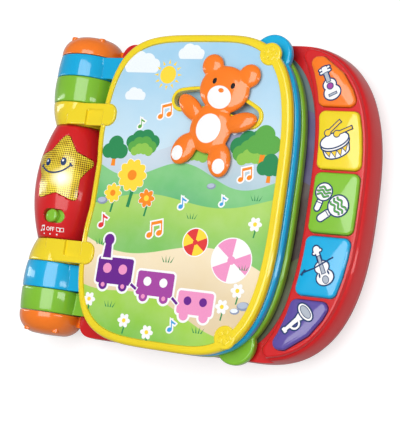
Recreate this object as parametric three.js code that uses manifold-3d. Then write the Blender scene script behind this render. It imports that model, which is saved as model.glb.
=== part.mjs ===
// Toy sound book for small children. A hollow base carries five sound keys along its
// right side. Three stiff plastic leaves turn on a round spine at the left, which also
// holds a light-up star and a mode slider. A teddy bear slides in the cover's arc slot.
// Millimetres: X from the spine to the keys, Y up the page, Z out of the cover.

import * as THREE from 'three';
import { mergeVertices } from 'three/addons/utils/BufferGeometryUtils.js';
import Module from 'manifold-3d';

const wasm = await Module();
wasm.setup();

// Overall size
const bookLength = 270;
const baseHalfHeight = 112;
const clearance = 0.3;

// Spine
const spineRadius = 28;
const spineX = spineRadius - bookLength / 2;
const spineZ = spineRadius;
const spineHalfLength = baseHalfHeight + 1.6;
const housingHalfLength = 0.3794 * spineHalfLength;
const housingEndRadius = 19.5;
const shaftRadius = 4.5;
const shaftRunningGap = 0.5;
const knuckleWidth = 0.1488 * spineHalfLength;
const wideKnuckleWidth = 0.1708 * spineHalfLength;
const knuckleGap = 0.3;
const innerKnuckleRadii = [19.8, 22.6, 23.9];
const wideKnuckleRadii = [24.1, 25.1, 25];
const outerKnuckleRadii = [25, 24.8, 24];
const capRadius = 24;
const capTipHeight = 0.4;
const capBridgeWidth = 8;

// Base
const baseBottomInset = 6;
const baseEdgeRound = 1.4;
const partingZ = 18;
const floorZ = 27.6;
const plateauZ = 37;
const shellWall = 2.2;
const baseFloorThickness = 2.4;
const baseLeftGap = 26;
const baseLeftX = spineX + baseLeftGap;
const baseRightX = bookLength / 2;
const baseCornerRadius = 10;
const baseCurveX = baseRightX - 75;
const baseCurvePower = 2.65;

// Raised key panel: the curve that bounds it on the side of the leaves
const panelWidth = 43;
const panelCurveX = baseRightX - 125;
const panelEdgeX = baseRightX - panelWidth;
const panelHalfHeight = baseHalfHeight + 16;
const panelCornerLength = 12;
const panelCornerFlare = 22;
const panelPower = 2.8;

// Keys
const keyEdgeX = panelEdgeX + 4.7;
const keyCurveHalfHeight = panelHalfHeight + 5;
const keyRowHalfLength = baseHalfHeight - 11;
const keyOuterInset = 6;
const keyCornerRadius = 4.6;
const keyProud = 3.6;
const keyFlange = 0.7;
const keyFlangeThickness = 1.2;
const keyTravel = 2;
const domeRadius = 7;
const domeTopRadius = 4.6;
const domeRowBow = 9;
const middleKeyHalfWidth = 0.204 * keyRowHalfLength;
const keySpacing = 2.2;
const sideKeyEnd = 0.6248 * keyRowHalfLength;
const endKeyStart = sideKeyEnd + 2.9;

// Leaves
const leafThickness = 6.8;
const leafGap = 0.5;
const leafWeb = 3.6;
const leafHalfHeight = baseHalfHeight + 1.3;
const leafSpineGap = 30;
const leafSpineNotch = 3.5;
const leafNotchReach = 17;
const leafNotchFade = 10;
const leafCurveX = panelCurveX;
const leafRightPower = 3.2;
const leafLeftPower = 4.5;
const leafRight = panelEdgeX - 12;
const leafStepWidth = 2;
const leafEdgeRound = 1.1;
const rimLeft = 4.5;
const rimRight = 7;
const rimEnd = 5.5;
const printThickness = 0.4;
const tabRadius = 15.2;
const tabX = leafRight - 28;
const tabY = leafHalfHeight - 12.8;
const armInset = 0.4;
const armReach = 3;

// Clasp straps of the cover
const strapEndX = spineX + 43;
const strapWidth = knuckleWidth - 0.5;
const strapTop = 0.5;
const strapThickness = 3.4;
const strapEndRadius = 7;
const pocketStartX = spineX + 17;
const pocketEndX = spineX + 32.5;
const pocketWidth = strapWidth - 4.4;
const pocketDepth = 1.1;

// Low round bosses in the outer corners of the cover
const cornerBossRadius = 8.2;
const cornerBossBelowRim = 0.1;
const cornerBossSpots = [
  [leafRight - 25, leafHalfHeight - 14.1],
  [leafRight - 28.5, 15.1 - leafHalfHeight],
];

// Bear and its arc slot
const slotPivotX = leafRight - 74.8;
const slotPivotY = -13.6;
const slotRadius = 80;
const slotWidth = 12;
const slotRim = 2.5;
const slotMiddleAngle = THREE.MathUtils.degToRad(79.3);
const slotHalfAngle = THREE.MathUtils.degToRad(21.6);
const shoeHalfAngle = THREE.MathUtils.degToRad(6.5);
const bearHeadRadius = 20;
const bearBelowShoe = 12;
const bearThickness = 5.2;
const bearTilt = THREE.MathUtils.degToRad(-13);
const bearGap = 0.4;
const retainerThickness = 1.1;
const bearScrewLength = 5.5;

// Star light and mode slider
const starRadius = 0.6032 * housingHalfLength;
const starInnerShare = 0.52;
const starY = 0.184 * housingHalfLength;
const starTipRound = 4;
const starInnerRound = 3;
const starTilt = THREE.MathUtils.degToRad(10);
const lensThickness = 2.2;
const lensProud = 0.15;
const pocketFloorAboveAxis = 10;
const pocketHalfWidth = 14;
const lightPocketAbove = 22;
const lightPocketBelow = 9;
const boardThickness = 1.6;
const reflectorHeight = 8.4;
const reflectorRadius = 12.4;
const reflectorFootRadius = 6.2;
const reflectorWall = 1.2;
const sliderX = spineX + 4;
const sliderY = -0.6207 * housingHalfLength;
const sliderRadius = 4.7;
const sliderTravel = 3.6;
const sliderSlotWidth = 10;
const sliderFloorBelowTop = 3.4;
const sliderHeight = 5.8;

// Battery bay, speaker and screws
const cellRadius = 7.1;
const cellLength = 50;
const bayWall = 2;
const bayLedge = 7;
const doorThickness = 2;
const doorScrewLength = 8;
const speakerX = baseRightX - 77;
const speakerY = 54 - baseHalfHeight;
const speakerRadius = 20;
const speakerRim = 2.5;
const speakerRimHeight = 1.2;
const basketHeight = 7;
const magnetRadius = 9;
const speakerDepth = 11.6;
const speakerSlotPitch = 5;
const speakerSlotWidth = 2.4;
const screwRadius = 1.3;
const screwHeadRadius = 2.8;
const screwHeadHeight = 2.2;
const caseScrewLength = 15;
const screwSeatZ = 3;
const bossHeight = 10;
const caseScrewSpots = [
  [baseLeftX + 15, baseHalfHeight - 14],
  [baseLeftX + 15, 14 - baseHalfHeight],
  [baseRightX - 69, baseHalfHeight - 14],
  [baseRightX - 69, 14 - baseHalfHeight],
  [baseLeftX + 15, 0],
  [baseRightX - 69, 0],
];

// Colours
const red = 0xd4252b;
const orange = 0xf58a25;
const yellow = 0xf2d92b;
const green = 0x8cc63f;
const blue = 0x0a9fdc;
const purple = 0x6355ac;

// Solids from geometry and back
function solidOf(geometry) {
  const bare = geometry.index ? geometry.toNonIndexed() : geometry.clone();
  bare.deleteAttribute('normal');
  bare.deleteAttribute('uv');
  const merged = mergeVertices(bare, 1e-4);
  const position = merged.attributes.position;
  const index = Array.from(merged.index.array);
  const corner = [new THREE.Vector3(), new THREE.Vector3(), new THREE.Vector3()];
  let volume = 0;
  for (let i = 0; i < index.length; i += 3) {
    corner.forEach((point, k) => point.fromBufferAttribute(position, index[i + k]));
    volume += corner[0].dot(corner[1].cross(corner[2]));
  }
  if (volume < 0) {
    index.reverse();
  }
  return new wasm.Manifold(new wasm.Mesh({
    numProp: 3,
    vertProperties: new Float32Array(position.array),
    triVerts: new Uint32Array(index),
  }));
}

function geometryOf(solid) {
  const mesh = solid.getMesh();
  const geometry = new THREE.BufferGeometry();
  geometry.setAttribute('position', new THREE.BufferAttribute(mesh.vertProperties, 3));
  geometry.setIndex(new THREE.BufferAttribute(mesh.triVerts, 1));
  return geometry;
}

function union(solids) {
  return solids.reduce((whole, solid) => whole.add(solid));
}

function cut(solid, cutters) {
  return cutters.reduce((rest, cutter) => rest.subtract(cutter), solid);
}

// Closed outlines, all counter-clockwise
function superPoint(cx, a, b, power, angle) {
  const c = Math.cos(angle);
  const s = Math.sin(angle);
  return new THREE.Vector2(
    cx + a * Math.sign(c) * Math.abs(c) ** (2 / power),
    b * Math.sign(s) * Math.abs(s) ** (2 / power),
  );
}

function arcPoints(cx, cy, radius, start, end, steps) {
  const points = [];
  for (let i = 0; i <= steps; i += 1) {
    const angle = start + ((end - start) * i) / steps;
    points.push(new THREE.Vector2(cx + radius * Math.cos(angle), cy + radius * Math.sin(angle)));
  }
  return points;
}

function circle(cx, cy, radius, segments) {
  return arcPoints(cx, cy, radius, 0, 2 * Math.PI * (1 - 1 / segments), segments - 1);
}

function capsule(cx, cy, length, width, steps) {
  const half = (length - width) / 2;
  return [
    ...arcPoints(cx + half, cy, width / 2, -Math.PI / 2, Math.PI / 2, steps),
    ...arcPoints(cx - half, cy, width / 2, Math.PI / 2, 1.5 * Math.PI, steps),
  ];
}

function offset(points, distance) {
  const count = points.length;
  return points.map((point, i) => {
    const before = point.clone().sub(points[(i + count - 1) % count]).normalize();
    const after = points[(i + 1) % count].clone().sub(point).normalize();
    const normal = new THREE.Vector2(before.y + after.y, -before.x - after.x).normalize();
    const stretch = Math.max(0.5, normal.x * before.y - normal.y * before.x);
    return point.clone().addScaledVector(normal, distance / stretch);
  });
}

function fillet(corners, steps) {
  const count = corners.length;
  return corners.flatMap(({ x, y, radius }, i) => {
    const point = new THREE.Vector2(x, y);
    if (!radius) {
      return [point];
    }
    const previous = corners[(i + count - 1) % count];
    const next = corners[(i + 1) % count];
    const toPrevious = new THREE.Vector2(previous.x, previous.y).sub(point).normalize();
    const toNext = new THREE.Vector2(next.x, next.y).sub(point).normalize();
    const half = Math.acos(THREE.MathUtils.clamp(toPrevious.dot(toNext), -1, 1)) / 2;
    const reach = radius / Math.tan(half);
    const start = point.clone().addScaledVector(toPrevious, reach);
    const end = point.clone().addScaledVector(toNext, reach);
    const bisector = toPrevious.clone().add(toNext).normalize();
    const centre = point.clone().addScaledVector(bisector, radius / Math.sin(half));
    const a0 = Math.atan2(start.y - centre.y, start.x - centre.x);
    const a1 = Math.atan2(end.y - centre.y, end.x - centre.x);
    const turn = Math.atan2(Math.sin(a1 - a0), Math.cos(a1 - a0));
    return arcPoints(centre.x, centre.y, radius, a0, a0 + turn, steps);
  });
}

function shrink(points, share) {
  const middle = points.reduce((sum, point) => sum.add(point), new THREE.Vector2());
  middle.divideScalar(points.length);
  return points.map((point) => point.clone().lerp(middle, share));
}

// Solid forms
function loft(rings) {
  const count = rings[0].points.length;
  const vertices = rings.flatMap(({ z, points }) => points.flatMap(({ x, y }) => [x, y, z]));
  const index = [];
  for (let ring = 0; ring < rings.length - 1; ring += 1) {
    for (let i = 0; i < count; i += 1) {
      const a = ring * count + i;
      const b = ring * count + ((i + 1) % count);
      index.push(a, b, b + count, a, b + count, a + count);
    }
  }
  const last = (rings.length - 1) * count;
  for (const [a, b, c] of THREE.ShapeUtils.triangulateShape(rings[0].points, [])) {
    index.push(a, c, b);
  }
  for (const [a, b, c] of THREE.ShapeUtils.triangulateShape(rings.at(-1).points, [])) {
    index.push(last + a, last + b, last + c);
  }
  const geometry = new THREE.BufferGeometry();
  geometry.setAttribute('position', new THREE.Float32BufferAttribute(vertices, 3));
  geometry.setIndex(index);
  return solidOf(geometry);
}

function prism(points, z0, z1) {
  return loft([{ z: z0, points }, { z: z1, points }]);
}

function block(x0, x1, y0, y1, z0, z1) {
  const geometry = new THREE.BoxGeometry(x1 - x0, y1 - y0, z1 - z0);
  geometry.translate((x0 + x1) / 2, (y0 + y1) / 2, (z0 + z1) / 2);
  return solidOf(geometry);
}

function drum(x, y, radius, z0, z1, segments = 14) {
  return prism(circle(x, y, radius, segments), z0, z1);
}

// A profile of [radius, height] turned about an upright axis at x, y
function turned(x, y, profile, segments) {
  const points = profile.map(([radius, height]) => new THREE.Vector2(radius, height));
  const geometry = new THREE.LatheGeometry(points, segments);
  geometry.rotateX(Math.PI / 2);
  geometry.translate(x, y, 0);
  return solidOf(geometry);
}

// A profile of [radius, y] turned about the spine's axis
function turnedOnSpine(profile, segments) {
  const points = profile.map(([radius, y]) => new THREE.Vector2(radius, y));
  const geometry = new THREE.LatheGeometry(points, segments);
  geometry.translate(spineX, 0, spineZ);
  return solidOf(geometry);
}

function mirrored(solid) {
  return solid.mirror([0, 1, 0]);
}

// Base: one outline, drawn in or out for each height
function baseOutline() {
  const corner = baseCornerRadius;
  const top = baseHalfHeight;
  const right = [];
  const steps = 22;
  for (let i = 0; i <= steps; i += 1) {
    const angle = -Math.PI / 2 + (Math.PI * i) / steps;
    right.push(superPoint(baseCurveX, baseRightX - baseCurveX, top, baseCurvePower, angle));
  }
  return [
    ...right,
    ...arcPoints(baseLeftX + corner, top - corner, corner, Math.PI / 2, Math.PI, 3),
    ...arcPoints(baseLeftX + corner, corner - top, corner, Math.PI, 1.5 * Math.PI, 3),
  ];
}

// The draft draws the outline in, except on the left wall, which stays upright at the spine
function baseRing(z, draft, wall = 0) {
  const points = offset(baseOutline(), -draft);
  for (const point of points) {
    const nearSpine = (baseLeftX + baseCornerRadius - point.x) / (baseCornerRadius - draft);
    point.x -= draft * THREE.MathUtils.clamp(nearSpine, 0, 1);
  }
  return { z, points: wall > 0 ? offset(points, -wall) : points };
}

function panelCutter(extra, z0) {
  const steps = 16;
  const side = bookLength;
  const ring = (z, flare) => {
    const edge = panelEdgeX - panelCurveX + extra + flare;
    const points = [];
    for (let i = 0; i <= steps; i += 1) {
      const angle = -Math.PI / 2 + (Math.PI * i) / steps;
      const point = superPoint(panelCurveX, edge, panelHalfHeight + extra + flare, panelPower, angle);
      const over = (Math.abs(point.y) - baseHalfHeight) / panelCornerLength + 1;
      point.x += panelCornerFlare * THREE.MathUtils.clamp(over, 0, 1) ** 2;
      points.push(point);
    }
    points.push(new THREE.Vector2(-side, panelHalfHeight + extra + flare));
    points.push(new THREE.Vector2(-side, -panelHalfHeight - extra - flare));
    return { z, points };
  };
  if (extra > 0) {
    return loft([ring(z0, 0), ring(plateauZ + 5, 0)]);
  }
  return loft([
    ring(z0, 0),
    ring(plateauZ - 1.8, 0.4),
    ring(plateauZ - 0.5, 1.1),
    ring(plateauZ + 1, 4),
  ]);
}

// Keys lie between two curves, with rounded corners
function keyOutline(y0, y1) {
  const xOn = (cx, a, b, power, y) => cx + a * (1 - Math.abs(y / b) ** power) ** (1 / power);
  const outerA = baseRightX - baseCurveX - keyOuterInset;
  const outerB = baseHalfHeight - keyOuterInset;
  const steps = 3;
  const corners = [];
  for (let i = 0; i <= steps; i += 1) {
    const y = y0 + ((y1 - y0) * i) / steps;
    const radius = i === 0 || i === steps ? keyCornerRadius : 0;
    corners.push({ x: xOn(baseCurveX, outerA, outerB, baseCurvePower, y), y, radius });
  }
  for (let i = steps; i >= 0; i -= 1) {
    const y = y0 + ((y1 - y0) * i) / steps;
    const radius = i === 0 || i === steps ? keyCornerRadius : 0;
    const a = keyEdgeX - panelCurveX;
    corners.push({ x: xOn(panelCurveX, a, keyCurveHalfHeight, panelPower, y), y, radius });
  }
  return fillet(corners, 3);
}

const sideKeyStart = middleKeyHalfWidth + keySpacing;
const keyPlan = [
  { name: 'key_orange_guitar', y0: endKeyStart, y1: keyRowHalfLength, color: orange },
  { name: 'key_yellow_drum', y0: sideKeyStart, y1: sideKeyEnd, color: yellow },
  { name: 'key_green_maracas', y0: -middleKeyHalfWidth, y1: middleKeyHalfWidth, color: green },
  { name: 'key_blue_violin', y0: -sideKeyEnd, y1: -sideKeyStart, color: blue },
  { name: 'key_purple_trumpet', y0: -keyRowHalfLength, y1: -endKeyStart, color: purple },
];
const panelUnderside = plateauZ - shellWall;
const keyFlangeTop = panelUnderside - clearance;
const keyBottom = keyFlangeTop - keyFlangeThickness;

function soundKey({ y0, y1 }) {
  const outline = keyOutline(y0, y1);
  const top = plateauZ + keyProud;
  const flange = offset(outline, keyFlange);
  return loft([
    { z: keyBottom, points: flange },
    { z: keyFlangeTop, points: flange },
    { z: keyFlangeTop + 0.01, points: outline },
    { z: top - 1.9, points: outline },
    { z: top - 0.5, points: offset(outline, -1.4) },
    { z: top, points: shrink(offset(outline, -1.4), 0.35) },
  ]);
}

// Top shell: crowned outside, floor under the leaves, raised key panel, hollow below
function baseTopShell() {
  const outside = loft([
    baseRing(partingZ, 0),
    baseRing(plateauZ - 7, 1),
    baseRing(plateauZ - 3.4, 2.3),
    baseRing(plateauZ - 1.2, 3.4),
    baseRing(plateauZ, 4.6),
  ]);
  const hollow = loft([
    baseRing(partingZ - 1, 0, shellWall),
    baseRing(plateauZ - 7, 1, shellWall),
    baseRing(panelUnderside, 3, shellWall),
  ]).subtract(panelCutter(shellWall, floorZ - shellWall));
  const keyHoles = keyPlan.map(({ y0, y1 }) => (
    prism(offset(keyOutline(y0, y1), clearance), panelUnderside - 1, plateauZ + 1)
  ));
  const posts = caseScrewSpots.map(([x, y]) => (
    drum(x, y, 4, bossHeight, floorZ - shellWall / 2, 8)
  ));
  const pilots = caseScrewSpots.map(([x, y]) => (
    drum(x, y, screwRadius + clearance, bossHeight - 1, screwSeatZ + caseScrewLength + 1, 8)
  ));
  const spineSeat = barrel(clearance, housingHalfLength);
  const shell = cut(outside, [panelCutter(0, floorZ), hollow, spineSeat, ...keyHoles]);
  return cut(union([shell, ...posts]), pilots);
}

// Battery bay, in the middle of the bottom shell
const bay = {
  x: cellLength / 2 + 4,
  y: 2 * cellRadius + 1.4,
  roof: doorThickness + clearance + 2 * cellRadius + 1.4,
};
const cellZ = doorThickness + clearance + 0.4 + cellRadius;
const keyBoardZ = 24;

function speakerSlots() {
  const slots = [];
  const pitch = speakerSlotPitch;
  for (let i = -3; i <= 3; i += 1) {
    const reach = 2 * Math.sqrt((speakerRadius - 3) ** 2 - (i * pitch) ** 2);
    const outline = capsule(speakerX, speakerY + i * pitch, reach, speakerSlotWidth, 2);
    slots.push(prism(outline, -1, baseFloorThickness + 1));
  }
  return slots;
}

const boardPosts = [
  [baseRightX - 35, 0.647 * keyRowHalfLength],
  [baseRightX - 35, -0.647 * keyRowHalfLength],
  [baseRightX - 23, 0],
];

function baseBottomShell() {
  const outside = loft([
    baseRing(0, baseBottomInset + baseEdgeRound),
    baseRing(baseEdgeRound, baseBottomInset),
    baseRing(partingZ * 0.55, baseBottomInset * 0.3),
    baseRing(partingZ, 0),
  ]);
  const hollow = loft([
    baseRing(baseFloorThickness, baseBottomInset, shellWall),
    baseRing(partingZ * 0.55, baseBottomInset * 0.3, shellWall),
    baseRing(partingZ + 1, 0, shellWall),
  ]);
  const ledge = bayLedge + bayWall;
  const solids = [
    outside.subtract(hollow),
    block(-bay.x - ledge, bay.x + ledge, -bay.y - ledge, bay.y + ledge, 0, bay.roof + bayWall),
    turned(speakerX, speakerY, [
      [speakerRadius + clearance, 1], [speakerRadius + shellWall, 1],
      [speakerRadius + shellWall, 8], [speakerRadius + clearance, 8], [speakerRadius + clearance, 1],
    ], 18),
    ...caseScrewSpots.map(([x, y]) => drum(x, y, 5, 1, bossHeight - clearance, 8)),
    ...boardPosts.map(([x, y]) => block(x - 3, x + 3, y - 3, y + 3, 1, keyBoardZ)),
  ];
  const seat = bay.y + bayLedge;
  const screwX = bay.x + bayLedge / 2;
  return cut(union(solids), [
    barrel(clearance, housingHalfLength),
    block(-bay.x - bayLedge, bay.x + bayLedge, -seat, seat, -1, doorThickness + clearance),
    block(-bay.x, bay.x, -bay.y, bay.y, 0, bay.roof),
    drum(screwX, 0, screwRadius + clearance, 0, 12, 8),
    ...caseScrewSpots.map(([x, y]) => drum(x, y, screwHeadRadius + 2 * clearance, -1, screwSeatZ, 8)),
    ...caseScrewSpots.map(([x, y]) => drum(x, y, screwRadius + clearance, -1, bossHeight, 8)),
    ...speakerSlots(),
  ]);
}

function screw(x, y, headZ, headHeight, length, segments = 8) {
  const head = screwHeadRadius;
  return turned(x, y, [
    [0, headZ], [head, headZ], [head, headZ + headHeight], [screwRadius, headZ + headHeight],
    [screwRadius, headZ + headHeight + length - 1.5], [0, headZ + headHeight + length],
  ], segments);
}

// Leaves
const leafLeftX = spineX + leafSpineGap;

function leafBottom(level) {
  return floorZ + printThickness + leafGap + level * (leafThickness + leafGap);
}

// Level 0 is green, 1 blue, 2 yellow: each lower leaf reaches a little further right
function leafOutline(level, insets = { left: 0, right: 0, end: 0 }) {
  const right = leafRight + (2 - level) * leafStepWidth - leafCurveX - insets.right;
  const left = leafCurveX - leafLeftX - insets.left;
  const half = leafHalfHeight - insets.end;
  const steps = 32;
  const notchEndX = leafLeftX + leafNotchReach;
  const points = [];
  for (let i = 0; i < steps; i += 1) {
    const angle = (2 * Math.PI * (i + 0.5)) / steps;
    const onRight = Math.cos(angle) > 0;
    const power = onRight ? leafRightPower : leafLeftPower;
    const point = superPoint(leafCurveX, onRight ? right : left, half, power, angle);
    if (!onRight && Math.abs(point.y) < housingHalfLength) {
      const share = Math.cos((Math.PI / 2) * (point.y / housingHalfLength)) ** 2;
      const fade = THREE.MathUtils.clamp((notchEndX - point.x) / leafNotchFade, 0, 1);
      point.x += leafSpineNotch * share * fade;
    }
    points.push(point);
  }
  return points;
}

function leafPlate(level) {
  const z0 = leafBottom(level);
  const z1 = z0 + leafThickness;
  const webLow = z0 + (leafThickness - leafWeb) / 2;
  const outer = leafOutline(level);
  const inner = leafOutline(level, { left: rimLeft, right: rimRight, end: rimEnd });
  const recess = offset(inner, 0.5);
  return loft([
    { z: webLow, points: inner },
    { z: z0, points: recess },
    { z: z0, points: offset(outer, -leafEdgeRound) },
    { z: z0 + leafEdgeRound, points: outer },
    { z: z1 - leafEdgeRound, points: outer },
    { z: z1, points: offset(outer, -leafEdgeRound) },
    { z: z1, points: recess },
    { z: webLow + leafWeb, points: inner },
  ]);
}

function leafPrint(level, front) {
  const webLow = leafBottom(level) + (leafThickness - leafWeb) / 2;
  const z0 = front ? webLow + leafWeb : webLow - printThickness;
  const inner = leafOutline(level, { left: rimLeft, right: rimRight, end: rimEnd });
  return prism(offset(inner, -clearance), z0, z0 + printThickness);
}

// What lies inside the rim: arms and tabs stop there
function leafCore(level) {
  const z0 = leafBottom(level);
  const outline = leafOutline(level, { left: rimLeft / 2, right: rimRight / 2, end: rimEnd / 2 });
  return prism(outline, z0 - 1, z0 + leafThickness + 1);
}

// A knuckle ring between y0 and y1, its radius given at both ends and in the middle
function knuckle(y0, y1, radii) {
  const bore = shaftRadius + shaftRunningGap;
  const middle = (y0 + y1) / 2;
  return turnedOnSpine([
    [bore, y0], [radii[0], y0], [radii[1], middle], [radii[2], y1], [bore, y1], [bore, y0],
  ], 22);
}

const bands = (() => {
  const innerStart = housingHalfLength + knuckleGap;
  const wideStart = innerStart + knuckleWidth + knuckleGap;
  const outerStart = wideStart + wideKnuckleWidth + knuckleGap;
  return {
    inner: [innerStart, innerStart + knuckleWidth],
    wide: [wideStart, wideStart + wideKnuckleWidth],
    outer: [outerStart, outerStart + knuckleWidth],
    cap: outerStart + knuckleWidth + knuckleGap,
  };
})();
const capLength = spineHalfLength - bands.cap;

// An arm joins a ring to the leaf's spine edge, at the leaf's own height
function knuckleWithArm(band, radii, level) {
  const z0 = leafBottom(level);
  const start = spineX + shaftRadius + 5;
  const bend = (1 - (band[1] / leafHalfHeight) ** leafLeftPower) ** (1 / leafLeftPower);
  const end = leafCurveX - (leafCurveX - leafLeftX) * bend + armReach;
  const arm = block(
    start, end, band[0] + armInset, band[1] - armInset, z0 + 0.4, z0 + leafThickness - 0.4,
  );
  return knuckle(band[0], band[1], radii).add(arm.subtract(leafCore(level)));
}

function indexTab(level, y) {
  const z0 = leafBottom(level);
  const outline = circle(tabX, y, tabRadius, 20);
  const tab = loft([
    { z: z0 + 0.5, points: offset(outline, -0.6) },
    { z: z0 + 1.2, points: outline },
    { z: z0 + leafThickness - 1.2, points: outline },
    { z: z0 + leafThickness - 0.5, points: offset(outline, -0.6) },
  ]);
  return leafPlate(level).add(tab.subtract(leafCore(level)));
}

function greenLeaf() {
  return union([
    indexTab(0, -tabY),
    knuckleWithArm(bands.wide, wideKnuckleRadii, 0),
    mirrored(knuckleWithArm(bands.outer, outerKnuckleRadii, 0)),
  ]);
}

function blueLeaf() {
  return union([
    indexTab(1, tabY),
    knuckleWithArm(bands.outer, outerKnuckleRadii, 1),
    mirrored(knuckleWithArm(bands.wide, wideKnuckleRadii, 1)),
  ]);
}

// Arc bands about the bear's pivot
function arcBand(radiusIn, radiusOut, halfAngle, roundEnds, steps = 8) {
  const start = slotMiddleAngle - halfAngle;
  const end = slotMiddleAngle + halfAngle;
  const middle = (radiusIn + radiusOut) / 2;
  const half = (radiusOut - radiusIn) / 2;
  const endAt = (angle, from) => {
    const cx = slotPivotX + middle * Math.cos(angle);
    const cy = slotPivotY + middle * Math.sin(angle);
    return arcPoints(cx, cy, half, from, from + Math.PI, 6).slice(1, -1);
  };
  return [
    ...arcPoints(slotPivotX, slotPivotY, radiusOut, start, end, steps),
    ...(roundEnds ? endAt(end, end) : []),
    ...arcPoints(slotPivotX, slotPivotY, radiusIn, end, start, steps),
    ...(roundEnds ? endAt(start, start + Math.PI) : []),
  ];
}

function slotOutline(grow) {
  const half = slotWidth / 2 + grow;
  return arcBand(slotRadius - half, slotRadius + half, slotHalfAngle, true);
}

// Clasp strap of the cover: flat from the ring's top to a rounded end on the leaf
const coverTop = leafBottom(2) + leafThickness;
const coverWebTop = coverTop - (leafThickness - leafWeb) / 2;

function strapOutline(grow) {
  const y0 = bands.inner[0];
  const y1 = y0 + strapWidth;
  return offset(fillet([
    { x: spineX, y: y0 },
    { x: strapEndX, y: y0, radius: strapEndRadius },
    { x: strapEndX, y: y1, radius: strapEndRadius },
    { x: spineX, y: y1 },
  ], 4), grow);
}

function claspStrap() {
  const top = coverTop + strapTop;
  const pocket = block(
    pocketStartX, pocketEndX, bands.inner[0] - 1, bands.inner[0] + pocketWidth,
    top - pocketDepth, top + 1,
  );
  const outline = strapOutline(0);
  const strap = loft([
    { z: top - strapThickness, points: outline },
    { z: top - 0.5, points: outline },
    { z: top, points: offset(outline, -0.5) },
  ]);
  return strap.subtract(pocket);
}

function yellowLeaf() {
  const z0 = leafBottom(2);
  const hinge = knuckle(bands.inner[0], bands.inner[1], innerKnuckleRadii).add(claspStrap());
  const bore = turnedOnSpine([
    [0, 0], [shaftRadius + shaftRunningGap, 0],
    [shaftRadius + shaftRunningGap, bands.cap], [0, bands.cap],
  ], 22);
  const half = hinge.subtract(bore);
  const rim = prism(slotOutline(slotRim), coverWebTop - 1, coverTop);
  const bosses = cornerBossSpots.map(([x, y]) => (
    drum(x, y, cornerBossRadius, coverWebTop - 1, coverTop - cornerBossBelowRim, 14)
  ));
  const body = union([leafPlate(2), half, mirrored(half), rim, ...bosses]);
  return body.subtract(prism(slotOutline(0), z0 - 1, coverTop + 1));
}

function coverFrontPrint() {
  const low = coverWebTop - 1;
  const strap = prism(strapOutline(clearance), low, coverTop + 1);
  const bosses = cornerBossSpots.map(([x, y]) => (
    drum(x, y, cornerBossRadius + clearance, low, coverTop, 14)
  ));
  return cut(leafPrint(2, true), [
    prism(slotOutline(slotRim + clearance), low, coverTop),
    strap,
    mirrored(strap),
    ...bosses,
  ]);
}

function coverBackPrint() {
  return leafPrint(2, false).subtract(
    prism(slotOutline(slotRim + 2), leafBottom(2) - 1, coverTop),
  );
}

// Teddy bear: rounded lobes joined on one flat back, over a shoe that rides in the slot.
// The lobes' places and radii are in head radii.
const bearBottom = coverTop + bearGap;
const shoeSpot = new THREE.Vector2(
  slotPivotX + slotRadius * Math.cos(slotMiddleAngle),
  slotPivotY + slotRadius * Math.sin(slotMiddleAngle),
);
const bearLobes = [
  { x: 0, y: 1, rx: 1, ry: 0.85, share: 1 },
  { x: -0.775, y: 1.7, rx: 0.425, ry: 0.425, share: 0.86 },
  { x: 0.775, y: 1.7, rx: 0.425, ry: 0.425, share: 0.86 },
  { x: 0, y: -0.45, rx: 0.825, ry: 0.9, share: 0.94 },
  { x: -1.05, y: 0.05, rx: 0.65, ry: 0.35, turn: -0.5, share: 0.84 },
  { x: 1.05, y: 0.05, rx: 0.65, ry: 0.35, turn: 0.5, share: 0.84 },
  { x: -0.75, y: -1.4, rx: 0.45, ry: 0.625, turn: -0.35, share: 0.9 },
  { x: 0.75, y: -1.4, rx: 0.45, ry: 0.625, turn: 0.35, share: 0.9 },
];

function lobe({ x, y, rx, ry, turn = 0, share }) {
  const height = bearThickness * share;
  const middle = shoeSpot.clone();
  middle.y -= bearBelowShoe;
  const outline = circle(0, 0, bearHeadRadius, 14).map((point) => (
    new THREE.Vector2(point.x * rx, point.y * ry)
      .rotateAround(new THREE.Vector2(), turn)
      .add(new THREE.Vector2(x, y).multiplyScalar(bearHeadRadius))
      .rotateAround(new THREE.Vector2(), bearTilt)
      .add(middle)
  ));
  return loft([
    { z: bearBottom, points: outline },
    { z: bearBottom + height * 0.4, points: outline },
    { z: bearBottom + height * 0.78, points: shrink(outline, 0.08) },
    { z: bearBottom + height, points: shrink(outline, 0.28) },
  ]);
}

const retainerTop = leafBottom(2) + 0.2 + retainerThickness;

function bearSlider() {
  const half = slotWidth / 2 - clearance;
  const shoe = prism(
    arcBand(slotRadius - half, slotRadius + half, shoeHalfAngle, false, 4),
    retainerTop, bearBottom + 1,
  );
  const body = union([...bearLobes.map(lobe), shoe]);
  const hole = drum(shoeSpot.x, shoeSpot.y, screwRadius + clearance, retainerTop - 1, bearBottom, 8);
  return body.subtract(hole);
}

function bearRetainer() {
  const half = slotWidth / 2 + slotRim - 0.5;
  const plate = prism(
    arcBand(slotRadius - half, slotRadius + half, shoeHalfAngle, false, 4),
    retainerTop - retainerThickness, retainerTop,
  );
  return cut(plate, [
    drum(shoeSpot.x, shoeSpot.y, screwHeadRadius + clearance, 0, retainerTop - 0.5, 12),
    drum(shoeSpot.x, shoeSpot.y, screwRadius + clearance, 0, retainerTop + 1, 8),
  ]);
}

function bearScrew() {
  const headHeight = retainerThickness - 0.5;
  return screw(shoeSpot.x, shoeSpot.y, retainerTop - retainerThickness, headHeight, bearScrewLength);
}

// Star housing: a barrel with a pocket for the light, joined to the base by a saddle
function housingRadiusAt(y) {
  return spineRadius - (spineRadius - housingEndRadius) * (y / housingHalfLength) ** 2;
}

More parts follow.
